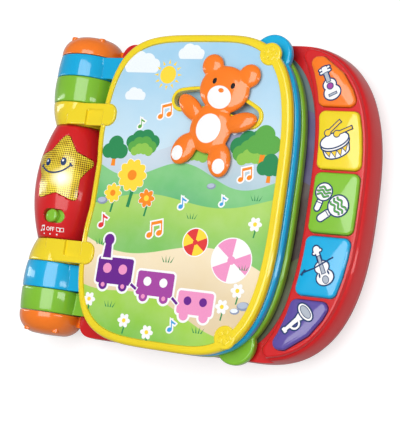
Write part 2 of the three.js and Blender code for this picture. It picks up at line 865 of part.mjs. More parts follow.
function barrel(skin, halfLength) {
  const steps = 8;
  const profile = [[0, -halfLength]];
  for (let i = 0; i <= steps; i += 1) {
    const y = halfLength * ((2 * i) / steps - 1);
    profile.push([housingRadiusAt(y) + skin, y]);
  }
  profile.push([0, halfLength]);
  return turnedOnSpine(profile, 26);
}

function starOutline(grow) {
  const corners = [];
  for (let i = 0; i < 10; i += 1) {
    const angle = Math.PI / 2 + (Math.PI * i) / 5;
    const tip = i % 2 === 0;
    const radius = tip ? starRadius : starRadius * starInnerShare;
    corners.push({
      x: radius * Math.cos(angle),
      y: starY + radius * Math.sin(angle),
      radius: tip ? starTipRound : starInnerRound,
    });
  }
  return offset(fillet(corners, 2), grow).map(({ x, y }) => {
    const radius = housingRadiusAt(y);
    return new THREE.Vector2(spineX + radius * Math.sin(x / radius + starTilt), y);
  });
}

const lightFloor = spineZ + pocketFloorAboveAxis;
const sliderTop = spineZ + housingRadiusAt(sliderY);
const sliderFloor = sliderTop - sliderFloorBelowTop;
const sliderSeat = sliderFloor - 3;

function starHousing() {
  const x = spineX;
  const saddle = block(x, baseLeftX, -housingHalfLength + 0.6, housingHalfLength - 0.6, 4, floorZ - 1.4);
  const lightPocket = block(
    x - pocketHalfWidth, x + pocketHalfWidth,
    sliderY - lightPocketBelow, starY + lightPocketAbove, lightFloor, spineZ + 40,
  );
  const underSkin = barrel(-lensThickness - clearance, housingHalfLength - 2);
  const ceiling = block(x - 40, x + 40, -housingHalfLength, sliderY + 8, sliderSeat, spineZ + 40);
  const starFloor = barrel(-lensThickness - 1.1 * clearance, housingHalfLength - 2);
  const starHole = prism(starOutline(clearance), spineZ, spineZ + 40).subtract(starFloor);
  const slotLength = sliderSlotWidth + 2 * sliderTravel;
  const recess = prism(
    capsule(sliderX, sliderY, slotLength, sliderSlotWidth, 5), sliderFloor, spineZ + 40,
  );
  const stemSlot = prism(
    capsule(sliderX, sliderY, 2 * sliderTravel + 4.6, 3.6, 4), sliderSeat - 1, spineZ + 40,
  );
  const bores = turnedOnSpine([
    [0, housingHalfLength - 8], [shaftRadius + clearance, housingHalfLength - 8],
    [shaftRadius + clearance, housingHalfLength + 1], [0, housingHalfLength + 1],
  ], 16);
  return cut(barrel(0, housingHalfLength).add(saddle), [
    lightPocket.intersect(underSkin).subtract(ceiling), starHole, recess, stemSlot,
    bores, mirrored(bores),
  ]);
}

function starLens() {
  const layer = barrel(lensProud, housingHalfLength).subtract(barrel(-lensThickness, housingHalfLength));
  return prism(starOutline(0), spineZ + 4, spineZ + 40).intersect(layer);
}

function starReflector() {
  const z0 = lightFloor + boardThickness;
  const z1 = z0 + reflectorHeight;
  const hole = reflectorFootRadius - reflectorWall;
  return turned(spineX, starY, [
    [hole, z0], [reflectorFootRadius, z0], [reflectorRadius, z1], [reflectorRadius - reflectorWall, z1],
    [hole, z0 + reflectorWall], [hole, z0],
  ], 16);
}

function starLed() {
  const z0 = lightFloor + boardThickness;
  return turned(spineX, starY, [
    [0, z0], [2.9, z0], [2.9, z0 + 1], [2.5, z0 + 1], [2.5, z0 + 5], [1.6, z0 + 6.8], [0, z0 + 7.4],
  ], 10);
}

function modeSlider() {
  const z0 = sliderFloor;
  const top = z0 + sliderHeight;
  const knob = turned(sliderX, sliderY, [
    [0, z0], [sliderRadius, z0], [sliderRadius, top - 1.6], [sliderRadius * 0.8, top - 0.4], [0, top],
  ], 16);
  const stem = block(sliderX - 1.5, sliderX + 1.5, sliderY - 1.4, sliderY + 1.4, sliderSeat + clearance, z0 + 1);
  return knob.add(stem);
}

function modeSwitchBody() {
  const z0 = lightFloor + boardThickness;
  return block(sliderX - 8, sliderX + 5, sliderY - 4, sliderY + 4, z0, sliderSeat);
}

// Orange end caps: domed, with a bridge to the base
function spineCap() {
  const y0 = bands.cap;
  const round = capRadius * 0.6;
  const straight = y0 + capLength - round;
  const profile = [[0, y0], [capRadius - 0.5, y0], [capRadius, y0 + 0.5], [capRadius, straight]];
  for (let i = 1; i <= 3; i += 1) {
    const angle = (Math.PI / 2) * (i / 3);
    profile.push([capRadius - round * (1 - Math.cos(angle)), straight + round * Math.sin(angle)]);
  }
  profile.push([0, y0 + capLength + capTipHeight]);
  const bridge = block(spineX, baseLeftX, y0, y0 + capBridgeWidth, 5, floorZ - 1.4);
  const bore = turnedOnSpine([
    [0, y0 - 1], [shaftRadius + clearance, y0 - 1], [shaftRadius + clearance, y0 + 6], [0, y0 + 6],
  ], 16);
  return turnedOnSpine(profile, 22).add(bridge).subtract(bore);
}

function hingeShaft() {
  const y0 = housingHalfLength - 7.6;
  const y1 = bands.cap + 5.6;
  return turnedOnSpine([[0, y0], [shaftRadius, y0], [shaftRadius, y1], [0, y1]], 16);
}

// Inside the base
function boardOutline() {
  const left = keyEdgeX - 0.7;
  const shoulder = baseRightX - 25;
  const right = baseRightX - 13;
  const end = 0.784 * keyRowHalfLength;
  const bend = 0.294 * keyRowHalfLength;
  return fillet([
    { x: left, y: -end, radius: 3 }, { x: shoulder, y: 6 - end, radius: 4 }, { x: right, y: -bend, radius: 8 },
    { x: right, y: bend, radius: 8 }, { x: shoulder, y: end - 6, radius: 4 }, { x: left, y: end, radius: 3 },
  ], 2);
}

function keyBoard() {
  return prism(boardOutline(), keyBoardZ, keyBoardZ + boardThickness);
}

function domeMat() {
  const z0 = keyBoardZ + boardThickness;
  const lastDomeY = 0.706 * keyRowHalfLength;
  const domes = keyPlan.map(({ y0, y1 }) => {
    const middle = THREE.MathUtils.clamp((y0 + y1) / 2, -lastDomeY, lastDomeY);
    const x = keyEdgeX + 6.3 + domeRowBow * (1 - Math.abs(middle) / lastDomeY);
    const top = keyBottom - keyTravel - clearance;
    return turned(x, middle, [[0, z0], [domeRadius, z0], [domeTopRadius, top], [0, top]], 8);
  });
  return union([prism(offset(boardOutline(), -1), z0, z0 + 1), ...domes]);
}

function speaker() {
  const z0 = baseFloorThickness;
  const inner = speakerRadius - speakerRim;
  const back = z0 + speakerDepth;
  const coneZ = z0 + basketHeight - 0.5;
  return turned(speakerX, speakerY, [
    [inner, z0], [speakerRadius, z0], [speakerRadius, z0 + speakerRimHeight],
    [inner, z0 + speakerRimHeight + 0.4], [magnetRadius + 1, z0 + basketHeight],
    [magnetRadius, back], [0, back], [0, coneZ], [magnetRadius - 1, coneZ], [inner, z0 + 1], [inner, z0],
  ], 16);
}

function speakerCone() {
  const z0 = baseFloorThickness;
  const outer = speakerRadius - speakerRim - 2 * clearance;
  const middle = outer / 3;
  return turned(speakerX, speakerY, [
    [0, z0 + 3.4], [middle - 1, z0 + 3.4], [outer, z0 + 0.1], [outer, z0 + 0.5], [middle, z0 + 4.6],
    [0, z0 + 4.6],
  ], 14);
}

function batteryDoor() {
  const gap = clearance;
  const x = bay.x + bayLedge - gap;
  const y = bay.y + bayLedge - gap;
  const screwX = bay.x + bayLedge / 2;
  return cut(block(-x, x, -y, y, gap, doorThickness + gap), [
    drum(screwX, 0, screwHeadRadius + 0.1, -1, 1.3, 12),
    drum(screwX, 0, screwRadius + gap, -1, doorThickness + 1, 8),
  ]);
}

function cell(side) {
  const geometry = new THREE.LatheGeometry([
    new THREE.Vector2(0, -cellLength / 2), new THREE.Vector2(cellRadius, -cellLength / 2),
    new THREE.Vector2(cellRadius, cellLength / 2 - 1.5), new THREE.Vector2(2.7, cellLength / 2 - 1.5),
    new THREE.Vector2(2.7, cellLength / 2), new THREE.Vector2(0, cellLength / 2),
  ], 14);
  geometry.rotateZ(side * Math.PI / 2);
  geometry.translate(-side * 0.8, side * (cellRadius + 0.3), cellZ);
  return solidOf(geometry);
}

class Helix extends THREE.Curve {
  constructor(x, y, z, turns, length) {
    super();
    Object.assign(this, { x, y, z, turns, length });
  }

  getPoint(t, target = new THREE.Vector3()) {
    const angle = 2 * Math.PI * this.turns * t;
    const radius = 4.6 - 1.8 * t;
    return target.set(
      this.x + this.length * t, this.y + radius * Math.cos(angle), this.z + radius * Math.sin(angle),
    );
  }
}

// Coil contact at the flat end of one cell, standing off the bay's end wall
function contactSpring() {
  const section = new THREE.Shape(circle(0, 0, 0.4, 5));
  const path = new Helix(-bay.x + 1.1, cellRadius + 0.3, cellZ, 2, 1.6);
  return solidOf(new THREE.ExtrudeGeometry(section, { steps: 14, bevelEnabled: false, extrudePath: path }));
}

function contactPlate() {
  return block(bay.x - 0.6, bay.x, -bay.y + 1, bay.y - 1, doorThickness + 2, bay.roof - 1);
}

// Assembly
const book = new THREE.Group();

function place(name, solid, color, roughness, metalness = 0) {
  const material = new THREE.MeshStandardMaterial({ color, roughness, metalness });
  const mesh = new THREE.Mesh(geometryOf(solid), material);
  mesh.name = name;
  book.add(mesh);
}

const gloss = 0.28;
place('base_top_shell', baseTopShell(), red, gloss);
place('base_bottom_shell', baseBottomShell(), red, gloss);
const pageInsets = { left: 2, right: -5, end: 1 };
place('base_page_print', prism(leafOutline(0, pageInsets), floorZ, floorZ + printThickness), 0x2a6b3a, 0.5);
keyPlan.forEach((plan) => place(plan.name, soundKey(plan), plan.color, gloss));

place('star_housing', starHousing(), red, gloss);
place('star_lens', starLens(), 0xf0b62a, 0.2);
place('star_reflector', starReflector(), 0xf4f4f0, 0.5);
const lightBoard = block(
  spineX - pocketHalfWidth + clearance, spineX + pocketHalfWidth - clearance,
  sliderY - lightPocketBelow + 1, starY + lightPocketAbove - 2, lightFloor, lightFloor + boardThickness,
);
place('star_led_board', lightBoard, 0x1f6b3a, 0.6);
place('star_led', starLed(), 0xf5f0e0, 0.2);
place('mode_slider', modeSlider(), green, gloss);
place('mode_switch_body', modeSwitchBody(), 0x2a2a2e, 0.5);
place('spine_cap_top', spineCap(), orange, gloss);
place('spine_cap_bottom', mirrored(spineCap()), orange, gloss);
place('hinge_shaft_upper', hingeShaft(), 0xb9bcc0, 0.35, 0.8);
place('hinge_shaft_lower', mirrored(hingeShaft()), 0xb9bcc0, 0.35, 0.8);

place('green_leaf', greenLeaf(), green, gloss);
place('green_leaf_front_print', leafPrint(0, true), 0x7cc6e8, 0.5);
place('green_leaf_back_print', leafPrint(0, false), 0xf3d57a, 0.5);
place('blue_leaf', blueLeaf(), blue, gloss);
place('blue_leaf_front_print', leafPrint(1, true), 0xa4d9a0, 0.5);
place('blue_leaf_back_print', leafPrint(1, false), 0x7cc6e8, 0.5);
place('yellow_leaf', yellowLeaf(), yellow, gloss);
place('cover_front_print', coverFrontPrint(), 0x9fd36a, 0.5);
place('cover_back_print', coverBackPrint(), 0xf6c6d8, 0.5);
place('bear_slider', bearSlider(), 0xf0801f, gloss);
place('bear_retainer', bearRetainer(), 0xf4f4f0, 0.5);
place('bear_screw', bearScrew(), 0xb9bcc0, 0.35, 0.8);

place('key_board', keyBoard(), 0x1f6b3a, 0.6);
place('key_dome_mat', domeMat(), 0xe4e4e2, 0.8);
place('speaker', speaker(), 0x303236, 0.5, 0.4);
place('speaker_cone', speakerCone(), 0x1d1d20, 0.9);
place('battery_door', batteryDoor(), red, gloss);
const doorScrew = screw(bay.x + bayLedge / 2, 0, clearance, 1, doorScrewLength);
place('battery_door_screw', doorScrew, 0xb9bcc0, 0.35, 0.8);
place('battery_cell_1', cell(1), 0x3d4a5c, 0.4, 0.3);
place('battery_cell_2', cell(-1), 0x3d4a5c, 0.4, 0.3);
place('contact_spring', contactSpring(), 0xc8c8c4, 0.3, 0.9);
place('contact_plate', contactPlate(), 0xc8c8c4, 0.3, 0.9);
caseScrewSpots.forEach(([x, y], i) => {
  const body = screw(x, y, screwSeatZ - screwHeadHeight, screwHeadHeight, caseScrewLength);
  place(`case_screw_${i + 1}`, body, 0xb9bcc0, 0.35, 0.8);
});

export default book;
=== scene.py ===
# Looks of the toy sound book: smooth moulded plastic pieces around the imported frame.
from math import acos, atan2, copysign, cos, hypot, pi, radians, sin, sqrt, tan

import bmesh
import bpy
from mathutils import Matrix, Vector


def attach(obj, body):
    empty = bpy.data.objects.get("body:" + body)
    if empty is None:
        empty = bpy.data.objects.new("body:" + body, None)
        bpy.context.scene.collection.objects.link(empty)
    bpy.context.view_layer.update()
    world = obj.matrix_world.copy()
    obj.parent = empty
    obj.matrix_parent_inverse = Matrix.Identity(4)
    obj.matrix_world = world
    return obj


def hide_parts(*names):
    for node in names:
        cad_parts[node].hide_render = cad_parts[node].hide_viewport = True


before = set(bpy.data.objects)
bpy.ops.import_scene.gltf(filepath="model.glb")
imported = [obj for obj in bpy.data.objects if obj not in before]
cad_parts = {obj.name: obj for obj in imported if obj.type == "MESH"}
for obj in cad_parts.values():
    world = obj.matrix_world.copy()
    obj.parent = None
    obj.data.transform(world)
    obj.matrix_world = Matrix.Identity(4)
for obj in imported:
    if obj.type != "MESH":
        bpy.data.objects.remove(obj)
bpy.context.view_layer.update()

MM = 0.001

# Sizes of the frame, in millimetres
SPINE_X = -107.0
SPINE_Z = 28.0
SPINE_R = 28.0
HOUSING_HALF = 43.1
HOUSING_END_R = 19.5
CLEAR = 0.3
BASE_LEFT = -81.0
BASE_RIGHT = 135.0
BASE_HALF = 112.0
BASE_CURVE_X = 60.0
BASE_POWER = 2.65
BASE_CORNER = 10.0
FLOOR = 27.6
PLATEAU = 37.0
PANEL_X = 10.0
PANEL_EDGE = 92.0
PANEL_HALF = 128.0
PANEL_POWER = 2.8
PANEL_FLARE = 22.0
PANEL_FLARE_LENGTH = 12.0
KEY_EDGE = 96.7
KEY_CURVE_HALF = 133.0
KEY_INSET = 6.0
KEY_PROUD = 3.6
KEY_CORNER = 4.6
LEAF_T = 6.8
LEAF_GAP = 0.5
LEAF_WEB = 3.6
LEAF_HALF = 113.3
LEAF_LEFT = -77.0
LEAF_X = 10.0
LEAF_RIGHT = 80.0
LEAF_STEP = 2.0
LEAF_LEFT_POWER = 4.5
LEAF_RIGHT_POWER = 3.2
PRINT_T = 0.4
RIM = (4.5, 7.0, 5.5)
TAB_R = 15.2
TAB_X = 52.0
TAB_Y = 100.5
BORE_R = 5.0
BANDS = {"inner": (43.4, 60.3), "wide": (60.6, 80.0), "outer": (80.3, 97.2), "cap": 97.5}
KNUCKLES = {"inner": (19.8, 22.6, 23.9), "wide": (24.1, 25.1, 25.0), "outer": (25.0, 24.8, 24.0)}
CAP_R = 24.0
CAP_LENGTH = 16.1
PIVOT = (5.2, -13.6)
SLOT_R = 80.0
SLOT_W = 12.0
SLOT_RIM = 2.5
SLOT_MID = radians(79.3)
SLOT_HALF = radians(21.6)
SHOE_HALF = radians(6.5)
BEAR_X = 20.05
BEAR_Y = 53.0
BEAR_TILT = radians(-13)
STAR_Y = 7.93
STAR_R = 28.6
STAR_INNER = 0.61
STAR_TIP = 3.2
STAR_TILT = radians(10)
SLIDER = (-103.0, -26.75)
RECESS_DEPTH = 3.4
RUNNER_T = 0.5
ROSETTES = ((55.0, 99.2), (51.5, -98.2))


def rgb(r, g, b):
    """A screen colour, turned into a linear one."""
    def linear(value):
        value /= 255
        return value / 12.92 if value <= 0.04045 else ((value + 0.055) / 1.055) ** 2.4
    return (linear(r), linear(g), linear(b), 1.0)


def tinted(colour, share):
    return tuple(channel * share for channel in colour[:3]) + (1.0,)


ORANGE = rgb(248, 124, 28)
WHITE = rgb(246, 246, 246)


# Materials
class Nodes:
    """Small helper that wires shader nodes."""

    def __init__(self, name):
        self.material = bpy.data.materials.new(name)
        self.material.use_nodes = True
        self.tree = self.material.node_tree
        self.place = self.tree.nodes.new("ShaderNodeTexCoord").outputs["Object"]

    def plug(self, socket, value):
        """Links a socket to another one, or sets its value."""
        if isinstance(value, bpy.types.NodeSocket):
            self.tree.links.new(value, socket)
        else:
            socket.default_value = value

    def feed(self, node, **inputs):
        for key, value in inputs.items():
            self.plug(node.inputs[key.replace("_", " ")], value)
        return node

    def shader(self, **inputs):
        self.feed(self.tree.nodes["Principled BSDF"], **inputs)

    def node(self, kind, **inputs):
        return self.feed(self.tree.nodes.new(kind), **inputs)

    def math(self, operation, *values):
        made = self.tree.nodes.new("ShaderNodeMath")
        made.operation = operation
        for socket, value in zip(made.inputs, values):
            self.plug(socket, value)
        return made.outputs[0]

    def add(self, a, b):
        return self.math("ADD", a, b)

    def sub(self, a, b):
        return self.math("SUBTRACT", a, b)

    def mul(self, a, b):
        return self.math("MULTIPLY", a, b)

    def length(self, u, v):
        return self.math("SQRT", self.add(self.mul(u, u), self.mul(v, v)))

    def ellipse(self, u, v, cx, cy, rx, ry):
        """How far a point lies from an ellipse's middle, 1 at its edge."""
        across = self.math("DIVIDE", self.sub(u, cx), rx)
        return self.length(across, self.math("DIVIDE", self.sub(v, cy), ry))

    def ramp(self, value, low, high):
        made = self.node("ShaderNodeMapRange", Value=value, From_Min=low, From_Max=high)
        made.interpolation_type = "SMOOTHSTEP"
        return made.outputs["Result"]

    def mix(self, share, first, second):
        made = self.tree.nodes.new("ShaderNodeMix")
        made.data_type = "RGBA"
        self.feed(made, Factor=share, A=first, B=second)
        return made.outputs["Result"]

    def noise(self, scale, detail=3.0):
        made = self.node("ShaderNodeTexNoise", Vector=self.place, Scale=scale, Detail=detail)
        return made.outputs["Fac"]

    def patches(self, scale, detail=2.0, low=0.3, high=0.7):
        return self.ramp(self.noise(scale, detail), low, high)

    def axes(self):
        """X, Y and Z of the piece in millimetres."""
        split = self.node("ShaderNodeSeparateXYZ", Vector=self.place)
        return [self.mul(split.outputs[axis], 1000.0) for axis in "XYZ"]

    def finish(self, colour, rough, bump=0.02, coat=0.25):
        wave = self.noise(500.0)
        spread = self.node("ShaderNodeMapRange", Value=wave, To_Min=rough * 0.85, To_Max=rough * 1.2)
        height = self.node("ShaderNodeBump", Strength=bump, Distance=0.0004, Height=wave)
        self.shader(Base_Color=colour, Roughness=spread.outputs["Result"], Coat_Weight=coat,
                    Coat_Roughness=0.07, Normal=height.outputs["Normal"])
        return self.material


def plastic(name, colour, rough=0.3, coat=1.0):
    """Moulded plastic: slow colour drift from the melt, fine orange peel on the gloss."""
    nodes = Nodes(name)
    body = nodes.mix(nodes.patches(18.0, 2.0, 0.35, 0.65), tinted(colour, 0.97), tinted(colour, 1.02))
    nodes.shader(Specular_IOR_Level=0.15, Subsurface_Weight=0.04,
                 Subsurface_Radius=(0.002, 0.001, 0.0006))
    return nodes.finish(body, rough, 0.01, coat)


def ink(name, colour):
    """Printed colour: flat, with the faint mottle of a label."""
    nodes = Nodes(name)
    nodes.shader(Specular_IOR_Level=0.15)
    return nodes.finish(nodes.mix(nodes.patches(900.0), tinted(colour, 0.96), colour), 0.42, coat=0.1)


def metal(name, colour, rough):
    nodes = Nodes(name)
    nodes.shader(Metallic=1.0)
    return nodes.finish(nodes.mix(nodes.patches(1400.0), tinted(colour, 0.85), colour), rough, coat=0.0)


def landscape(name, top, bottom, bands):
    """Printed page: a sky that fades down, then rolling bands of colour, each one softly shaded."""
    nodes = Nodes(name)
    x, y, _ = nodes.axes()
    colour = nodes.mix(nodes.ramp(y, -20.0, 105.0), rgb(*bottom), rgb(*top))
    for level, slope, swing, length, phase, near, far in bands:
        wave = nodes.math("SINE", nodes.math("MULTIPLY_ADD", x, 2 * pi / length, phase))
        edge = nodes.math("MULTIPLY_ADD", wave, swing, level)
        edge = nodes.math("MULTIPLY_ADD", x, slope, edge)
        depth = nodes.sub(edge, y)
        shade = nodes.mix(nodes.ramp(depth, 0.0, 42.0), rgb(*far), rgb(*near))
        colour = nodes.mix(nodes.ramp(depth, -0.25, 0.25), colour, shade)
    nodes.shader(Specular_IOR_Level=0.4)
    paled = nodes.mix(0.06, colour, WHITE)
    return nodes.finish(nodes.mix(nodes.patches(60.0, 4.0), colour, paled), 0.4, coat=0.12)


MAT = {"steel": metal("plated_steel", rgb(200, 202, 206), 0.32)}
for finish, title, screen, roughness, gloss in (
    ("red", "red_plastic", (208, 30, 34), 0.3, 0.5),
    ("orange", "orange_plastic", (248, 124, 28), 0.3, 1.0),
    ("yellow", "yellow_plastic", (238, 212, 34), 0.3, 1.0),
    ("green", "green_plastic", (128, 190, 48), 0.3, 1.0),
    ("blue", "blue_plastic", (0, 170, 222), 0.3, 1.0),
    ("purple", "purple_plastic", (92, 76, 160), 0.3, 1.0),
    ("white", "white_plastic", (246, 246, 246), 0.3, 1.0),
    ("black", "black_plastic", (30, 30, 34), 0.5, 0.0),
    ("board", "board_green", (32, 106, 58), 0.6, 0.0),
    ("rubber", "silicone", (228, 228, 226), 0.75, 0.0),
    ("cone", "paper_cone", (28, 28, 31), 0.9, 0.0),
    ("cell", "cell_wrap", (61, 74, 92), 0.4, 1.0),
    ("led", "led_body", (245, 240, 224), 0.25, 1.0),
):
    MAT[finish] = plastic(title, rgb(*screen), roughness, gloss)

INK = {"housing": MAT["red"]}
for title, screen in (
    ("navy", (18, 54, 104)), ("white", (246, 246, 246)), ("grey", (176, 184, 196)),
    ("gold", (244, 206, 60)), ("leaf", (92, 168, 74)), ("sun", (255, 216, 64)),
    ("orange", (244, 140, 36)), ("pink", (238, 150, 196)), ("purple", (104, 36, 140)),
    ("violet", (164, 70, 160)), ("sky", (70, 160, 220)), ("red", (222, 60, 60)),
    ("pine", (46, 138, 84)), ("lime", (142, 196, 82)), ("cloud", (236, 243, 248)),
    ("slate", (142, 152, 178)), ("haze", (178, 190, 210)),
):
    INK[title] = ink("ink_" + title, rgb(*screen))


# Outlines, counter-clockwise lists of (x, y) in millimetres
def super_point(cx, a, b, power, angle):
    c, s = cos(angle), sin(angle)
    x = cx + a * copysign(abs(c) ** (2 / power), c)
    return (x, b * copysign(abs(s) ** (2 / power), s))


def arc(cx, cy, radius, start, end, steps):
    angles = [start + (end - start) * i / steps for i in range(steps + 1)]
    return [(cx + radius * cos(a), cy + radius * sin(a)) for a in angles]


def circle(cx, cy, radius, steps=48):
    return arc(cx, cy, radius, 0.0, 2 * pi * (1 - 1 / steps), steps - 1)


def moved(points, dx=0.0, dy=0.0, turn=0.0, scale=1.0):
    c, s = cos(turn) * scale, sin(turn) * scale
    return [(dx + x * c - y * s, dy + x * s + y * c) for x, y in points]


def ellipse(cx, cy, rx, ry, turn=0.0, steps=40):
    return moved([(x * rx, y * ry) for x, y in circle(0, 0, 1, steps)], cx, cy, turn)


def rectangle(x0, y0, x1, y1):
    return [(x0, y0), (x1, y0), (x1, y1), (x0, y1)]


def capsule(cx, cy, length, width, steps=12):
    half = (length - width) / 2
    right = arc(cx + half, cy, width / 2, -pi / 2, pi / 2, steps)
    return right + arc(cx - half, cy, width / 2, pi / 2, 1.5 * pi, steps)


def stroke(points, width):
    """An open line of even width, as an outline."""
    path = [Vector(p) for p in points]
    left, right = [], []
    for i, p in enumerate(path):
        along = (path[min(i + 1, len(path) - 1)] - path[max(i - 1, 0)]).normalized()
        side = Vector((-along.y, along.x)) * width / 2
        left.append(tuple(p + side))
        right.append(tuple(p - side))
    return right + left[::-1]


def offset(points, distance):
    count = len(points)
    result = []
    for i in range(count):
        point = Vector(points[i])
        before = (point - Vector(points[i - 1])).normalized()
        after = (Vector(points[(i + 1) % count]) - point).normalized()
        normal = Vector((before.y + after.y, -before.x - after.x)).normalized()
        stretch = max(0.5, normal.x * before.y - normal.y * before.x)
        result.append(tuple(point + normal * (distance / stretch)))
    return result


def fillet(corners, steps=8):
    """Corners are (x, y, radius)."""
    result = []
    count = len(corners)
    for i, (x, y, radius) in enumerate(corners):
        if not radius:
            result.append((x, y))
            continue
        point = Vector((x, y))
        to_before = (Vector(corners[i - 1][:2]) - point).normalized()
        to_after = (Vector(corners[(i + 1) % count][:2]) - point).normalized()
        half = acos(max(-1.0, min(1.0, to_before.dot(to_after)))) / 2
        start = point + to_before * (radius / tan(half))
        end = point + to_after * (radius / tan(half))
        centre = point + (to_before + to_after).normalized() * (radius / sin(half))
        a0 = atan2(start.y - centre.y, start.x - centre.x)
        a1 = atan2(end.y - centre.y, end.x - centre.x)
        turn = atan2(sin(a1 - a0), cos(a1 - a0))
        result += arc(centre.x, centre.y, radius, a0, a0 + turn, steps)
    return result


def shrink(points, share):
    mx = sum(p[0] for p in points) / len(points)
    my = sum(p[1] for p in points) / len(points)
    return [(x + (mx - x) * share, y + (my - y) * share) for x, y in points]


def turned_left(points):
    """The outline in counter-clockwise order."""
    area = sum(a[0] * b[1] - b[0] * a[1] for a, b in zip(points, points[1:] + points[:1]))
    return points if area > 0 else points[::-1]


def quarter(steps):
    """Sine and cosine of even angles from zero to a right angle."""
    return [(sin(a), cos(a)) for a in [pi / 2 * i / steps for i in range(steps + 1)]]


# Meshes
def link(name, data):
    made = bpy.data.objects.new(name, data)
    bpy.context.scene.collection.objects.link(made)
    return made


def baked(piece):
    """The piece's mesh with its modifiers applied."""
    graph = bpy.context.evaluated_depsgraph_get()
    return bpy.data.meshes.new_from_object(piece.evaluated_get(graph))


def smooth_shaded(mesh, angle=32.0):
    mesh.shade_smooth()
    mesh.set_sharp_from_angle(angle=radians(angle))


def to_mesh(name, bm):
    bmesh.ops.scale(bm, vec=(MM, MM, MM), verts=bm.verts)
    mesh = bpy.data.meshes.new(name)
    bm.to_mesh(mesh)
    bm.free()
    return mesh


def finish_mesh(name, bm, material=None):
    bmesh.ops.remove_doubles(bm, verts=bm.verts, dist=0.002)
    bmesh.ops.recalc_face_normals(bm, faces=bm.faces)
    mesh = to_mesh(name, bm)
    smooth_shaded(mesh)
    if material:
        mesh.materials.append(material)
    return link(name, mesh)


def loft(name, rings, material=None):
    """Rings are (z, points), every one with as many points."""
    bm = bmesh.new()
    rows = [[bm.verts.new((x, y, z)) for x, y in points] for z, points in rings]
    count = len(rows[0])
    for low, high in zip(rows, rows[1:]):
        for i in range(count):
            j = (i + 1) % count
            bm.faces.new((low[i], low[j], high[j], high[i]))
    bm.faces.new(rows[0][::-1])
    bm.faces.new(rows[-1])
    return finish_mesh(name, bm, material)


def prism(name, points, z0, z1, material=None):
    return loft(name, [(z0, points), (z1, points)], material)


def box(name, x0, x1, y0, y1, z0, z1):
    return prism(name, rectangle(x0, y0, x1, y1), z0, z1)


def rounded(outline, z0, z1, low, high, steps=5):
    """Rings of a plate whose lower and upper edges are rounded."""
    lower = [(z0 + low * (1 - s), offset(outline, -low * (1 - c))) for s, c in quarter(steps)]
    upper = [(z1 - high * (1 - s), offset(outline, -high * (1 - c))) for s, c in quarter(steps)]
    return (lower[::-1] if low else lower[:1]) + upper


def lathe(name, profile, material=None, segments=112, centre=None):
    """A profile of (radius, height) turned about the spine, or upright about a centre."""
    bm = bmesh.new()
    rows = []
    for radius, height in profile:
        row = []
        for i in range(segments):
            a = 2 * pi * i / segments
            across, up = radius * cos(a), radius * sin(a)
            if centre:
                row.append(bm.verts.new((centre[0] + across, centre[1] + up, height)))
            else:
                row.append(bm.verts.new((SPINE_X + across, height, SPINE_Z + up)))
            if radius == 0:
                break
        rows.append(row)
    for low, high in zip(rows, rows[1:]):
        for i in range(segments):
            j = (i + 1) % segments
            corners = [low[i % len(low)], low[j % len(low)], high[j % len(high)], high[i % len(high)]]
            unique = list(dict.fromkeys(corners))
            if len(unique) > 2:
                bm.faces.new(unique)
    return finish_mesh(name, bm, material)


def combine(target, others, operation, angle=32.0):
    """Joins or cuts solids, and leaves flat faces flat under the smooth shading."""
    for other in others:
        modifier = target.modifiers.new("combine", "BOOLEAN")
        modifier.operation = operation
        modifier.solver = "EXACT"
        modifier.object = other
    mesh = baked(target)
    target.modifiers.clear()
    old = target.data
    target.data = mesh
    bpy.data.meshes.remove(old)
    for other in others:
        bpy.data.objects.remove(other)
    smooth_shaded(mesh, angle)
    target.modifiers.new("flat_faces", "WEIGHTED_NORMAL").keep_sharp = True
    return target


def cut(target, *others, angle=32.0):
    return combine(target, others, "DIFFERENCE", angle)


def join(target, *others):
    return combine(target, others, "UNION")


def place(piece, body, slot, *nodes):
    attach(piece, body)
    if nodes:
        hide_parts(*nodes)


def mirror_y(piece, name):
    """A copy on the other side of the book's middle line."""
    copy = piece.copy()
    copy.data = piece.data.copy()
    copy.name = name
    bm = bmesh.new()
    bm.from_mesh(copy.data)
    bmesh.ops.scale(bm, vec=(1, -1, 1), verts=bm.verts)
    bmesh.ops.reverse_faces(bm, faces=bm.faces)
    bm.to_mesh(copy.data)
    bm.free()
    bpy.context.scene.collection.objects.link(copy)
    return copy


# Printed artwork: flat shapes, each in a thin layer over all that it overlaps
class Artwork:
    def __init__(self, z=0.0, lift=None, layer=0.01):
        self.bm = bmesh.new()
        self.inks = []
        self.taken = []
        self.at = {}
        self.layer = layer
        self.lift = lift or (lambda x, y, height: (x, y, z + height))

    def layer_over(self, points):
        xs = [p[0] for p in points]
        ys = [p[1] for p in points]
        x0, x1, y0, y1 = min(xs), max(xs), min(ys), max(ys)
        below = [layer for (left, right, low, high), layer in self.taken
                 if x0 < right and left < x1 and y0 < high and low < y1]
        layer = max(below, default=0) + 1
        self.taken.append(((x0, x1, y0, y1), layer))
        return layer * self.layer

    def add(self, points, colour):
        if colour not in self.inks:
            self.inks.append(colour)
        points = turned_left(points)
        height = self.layer_over(points)
        face = self.bm.faces.new([self.bm.verts.new(self.lift(x, y, height)) for x, y in points])
        face.material_index = self.inks.index(colour)

    def shapes(self, outlines, colour, border=None, width=0.8):
        """Outlines in one ink, over a border of another ink that shows around them all."""
        outlines = [moved(points, **self.at) for points in outlines]
        for points in outlines if border else []:
            self.add(offset(turned_left(points), width), border)
        for points in outlines:
            self.add(points, colour)

    def done(self, name, body, slot):
        bmesh.ops.triangulate(self.bm, faces=self.bm.faces)
        mesh = to_mesh(name, self.bm)
        for colour in self.inks:
            mesh.materials.append(INK[colour])
        place(link(name, mesh), body, slot)


# Base
HALF_TURN = [-pi / 2 + pi * i / 120 for i in range(121)]


